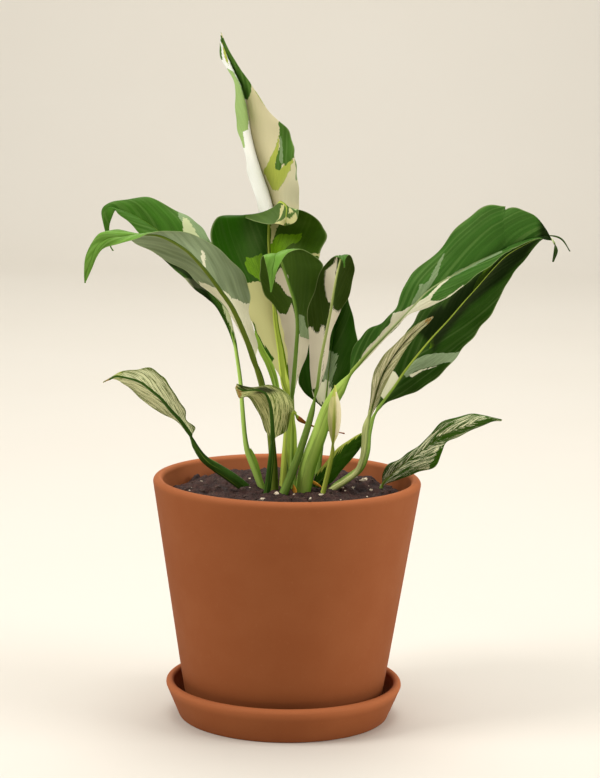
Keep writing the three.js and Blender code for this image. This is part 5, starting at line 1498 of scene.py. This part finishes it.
def stage_material(colour):
    """The stage's matt paper, with a breath of unevenness."""
    paint = Paint("stage_paper")
    cloud = paint.noise(paint.object_place(), 3.0, 2.0)
    share = paint.step(cloud, 0.2, 0.8, 0.0, 0.06)
    paint.surface(paint.mix(share, (*colour, 1), linear((0.80, 0.76, 0.68))), 0.85)
    return paint.material


# Stage


def add_stage(settings):
    """A floor that bends up into a wall far behind: flat, then a quarter circle, then upright."""
    bend, radius, front, high, half_width = 2600, 800, -5000, 3400, 5500
    angle = np.linspace(0, math.pi / 2, 24)
    y = np.concatenate([[front], bend + radius * np.sin(angle), [bend + radius]])
    z = np.concatenate([[0], radius * (1 - np.cos(angle)), [high]])
    x = np.linspace(-half_width, half_width, 8)
    points = np.stack([x + 0 * lift(y), lift(y) + 0 * x, lift(z) + 0 * x], -1).reshape(-1, 3)
    faces = grid_faces(len(y), len(x))[:, ::-1]
    floor = add_piece("floor", points, [faces], stage_material(settings.floor), 60)


def add_lights():
    """Large soft lights to the right, to the left, above and for the backdrop, and a glow from all round.

    Each lamp is pitched up from straight down, then turned to its heading.
    """
    world = bpy.data.worlds.new("glow")
    world.use_nodes = True
    background = world.node_tree.nodes["Background"]
    background.inputs[0].default_value = linear(GLOW_COLOUR)
    background.inputs[1].default_value = GLOW_STRENGTH
    bpy.context.scene.world = world
    for name, place, aim, size, watts in LIGHTS:
        light = bpy.data.lights.new(name, "AREA")
        light.shape = "SQUARE"
        light.size = size
        light.energy = watts
        light.color = LIGHT_COLOUR
        lamp = bpy.data.objects.new(name, light)
        lamp.location = place
        x, y, z = np.subtract(aim, place)
        lamp.rotation_euler = (math.atan2(math.hypot(x, y), -z), 0.0, math.atan2(y, x) - math.pi / 2)
        bpy.context.scene.collection.objects.link(lamp)


def add_camera(settings):
    """The photograph's camera: in front, a little above, looking slightly down, with a slight roll."""
    camera = bpy.data.cameras.new("camera")
    camera.lens = settings.lens
    camera.sensor_width = 36
    camera.clip_start = 0.05
    eye = bpy.data.objects.new("camera", camera)
    pitch = Euler((math.radians(90 - CAMERA_PITCH), 0, 0)).to_matrix()
    eye.rotation_euler = (pitch @ Matrix.Rotation(math.radians(CAMERA_ROLL), 3, "Z")).to_euler()
    eye.location = CAMERA_PLACE
    bpy.context.scene.collection.objects.link(eye)
    bpy.context.scene.camera = eye


# Settings


def colour_setting(name, description, colour):
    """A colour, whose default is given as a screen colour."""
    default = tuple(from_screen(colour))
    return bpy.props.FloatVectorProperty(
        name=name, description=description, default=default, subtype="COLOR", size=3, min=0, max=1
    )


def length_setting(name, description, default, low, high):
    """A length in metres."""
    return bpy.props.FloatProperty(
        name=name, description=description, default=default, min=low, max=high, subtype="DISTANCE",
        unit="LENGTH", precision=5,
    )


def count_setting(name, description, default, high):
    """A number of like things."""
    return bpy.props.IntProperty(name=name, description=description, default=default, min=0, max=high)


class PotSettings(bpy.types.PropertyGroup):
    """Colours of the terracotta."""

    clay: colour_setting("Clay", "Colour of the terracotta", (0.575, 0.33, 0.185))
    clay_shade: colour_setting("Darker clay", "Colour of the darker blotches", (0.56, 0.315, 0.175))


class MixSettings(bpy.types.PropertyGroup):
    """Colours and crumbs of the potting mix."""

    dark: colour_setting("Mix", "Colour of the finest crumbs", (0.18, 0.12, 0.112))
    brown: colour_setting("Clod colour", "Colour of the larger clods", (0.32, 0.225, 0.205))
    clods: count_setting("Clods", "How many clods show", 520, 4000)
    roughness: bpy.props.FloatProperty(
        name="Clod height", description="How far the clods stand up, as a share", default=1.35, min=0, max=2
    )
    perlite: count_setting("Perlite", "How many pale grains", 48, 1000)
    chips: count_setting("Chips", "How many dark chips", 260, 2000)


class LeafSettings(bpy.types.PropertyGroup):
    """Thickness and relief of the leaves."""

    thickness: length_setting("Thickness", "Thickness of a blade", 0.00045, 0.0001, 0.002)
    margin_wave: length_setting("Margin wave", "How far a blade's margins wave", 0.0012, 0, 0.005)
    vein_relief: length_setting("Vein relief", "Height of the waves between the veins", 0.00013, 0, 0.001)


class StageSettings(bpy.types.PropertyGroup):
    """The floor and the camera."""

    floor: colour_setting("Floor", "Colour of the floor", (0.87, 0.85, 0.81))
    lens: bpy.props.FloatProperty(
        name="Lens", description="Focal length for a film 36 mm wide", default=108.984, min=20, max=300,
        subtype="DISTANCE_CAMERA", unit="CAMERA",
    )


# Operators


class PEACELILY_OT_stage(bpy.types.Operator):
    """Set the pale floor, the soft lights and the camera"""

    bl_idname = "peacelily.stage"
    bl_label = "Stage"

    def execute(self, context):
        add_stage(context.scene.lily_stage)
        add_lights()
        add_camera(context.scene.lily_stage)
        context.scene.view_settings.view_transform = "Standard"
        return {"FINISHED"}


class PEACELILY_OT_pot(bpy.types.Operator):
    """Turn the pot and its saucer"""

    bl_idname = "peacelily.pot"
    bl_label = "Pot and saucer"

    def execute(self, context):
        clay = clay_material(context.scene.lily_pot)
        for name, profile in (("pot", pot_profile()), ("saucer", saucer_profile())):
            settle(turned_piece(f"{name}_turned", profile, clay), name)
        return {"FINISHED"}


class PEACELILY_OT_mix(bpy.types.Operator):
    """Fill the pot with potting mix, pale grains and dark chips"""

    bl_idname = "peacelily.mix"
    bl_label = "Potting mix"

    def execute(self, context):
        settings = context.scene.lily_mix
        settle(make_mix(settings, mix_material(settings)), "soil")
        for piece in make_grains(settings):
            settle(piece, None)
        return {"FINISHED"}


class PEACELILY_OT_leaves(bpy.types.Operator):
    """Grow every leaf, spear and sheath with its stalk"""

    bl_idname = "peacelily.leaves"
    bl_label = "Leaves"

    def execute(self, context):
        finishes = {kind: leaf_material(kind) for kind in ("leaf_green", "leaf_mottled", "spear")}
        for name in (*LEAVES, *SHEATHS):
            kind = "leaf_mottled" if TINTS[name].left_flecks > 0 else "leaf_green"
            if name.startswith("spear"):
                kind = "spear"
            piece = make_leaf(name, context.scene.lily_leaf, finishes[kind])
            settle(piece, name if name in LEAVES else None)
        return {"FINISHED"}


class PEACELILY_PT_panel(bpy.types.Panel):
    """Lists the steps and the settings that a user would change"""

    bl_label = "Peace lily"
    bl_space_type = "VIEW_3D"
    bl_region_type = "UI"
    bl_category = "Peace lily"

    def draw(self, context):
        for group, operator, kind in STEPS:
            box = self.layout.box()
            box.operator(operator)
            for name in kind.__annotations__:
                box.prop(getattr(context.scene, group), name)


# The steps in order: where the scene keeps their settings, their operator and the kind of their settings.
STEPS = (
    ("lily_stage", "peacelily.stage", StageSettings),
    ("lily_pot", "peacelily.pot", PotSettings),
    ("lily_mix", "peacelily.mix", MixSettings),
    ("lily_leaf", "peacelily.leaves", LeafSettings),
)
CLASSES = (
    *(kind for group, operator, kind in STEPS),
    PEACELILY_OT_stage,
    PEACELILY_OT_pot,
    PEACELILY_OT_mix,
    PEACELILY_OT_leaves,
    PEACELILY_PT_panel,
)


def register():
    """Register the classes and give the scene its settings."""
    for kind in CLASSES:
        bpy.utils.register_class(kind)
    for group, operator, kind in STEPS:
        setattr(bpy.types.Scene, group, bpy.props.PointerProperty(type=kind))


def unregister():
    """Take the settings and the classes away again."""
    for group, operator, kind in STEPS:
        delattr(bpy.types.Scene, group)
    for kind in reversed(CLASSES):
        bpy.utils.unregister_class(kind)


def corners(box):
    """A box's two corners as plain lists of numbers."""
    return [[float(value) for value in corner] for corner in box]


def main():
    """Register the steps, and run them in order."""
    register()
    bpy.ops.peacelily.stage()
    bpy.ops.peacelily.pot()
    bpy.ops.peacelily.mix()
    bpy.ops.peacelily.leaves()
    bpy.context.view_layer.update()


if __name__ == "__main__":
    main()
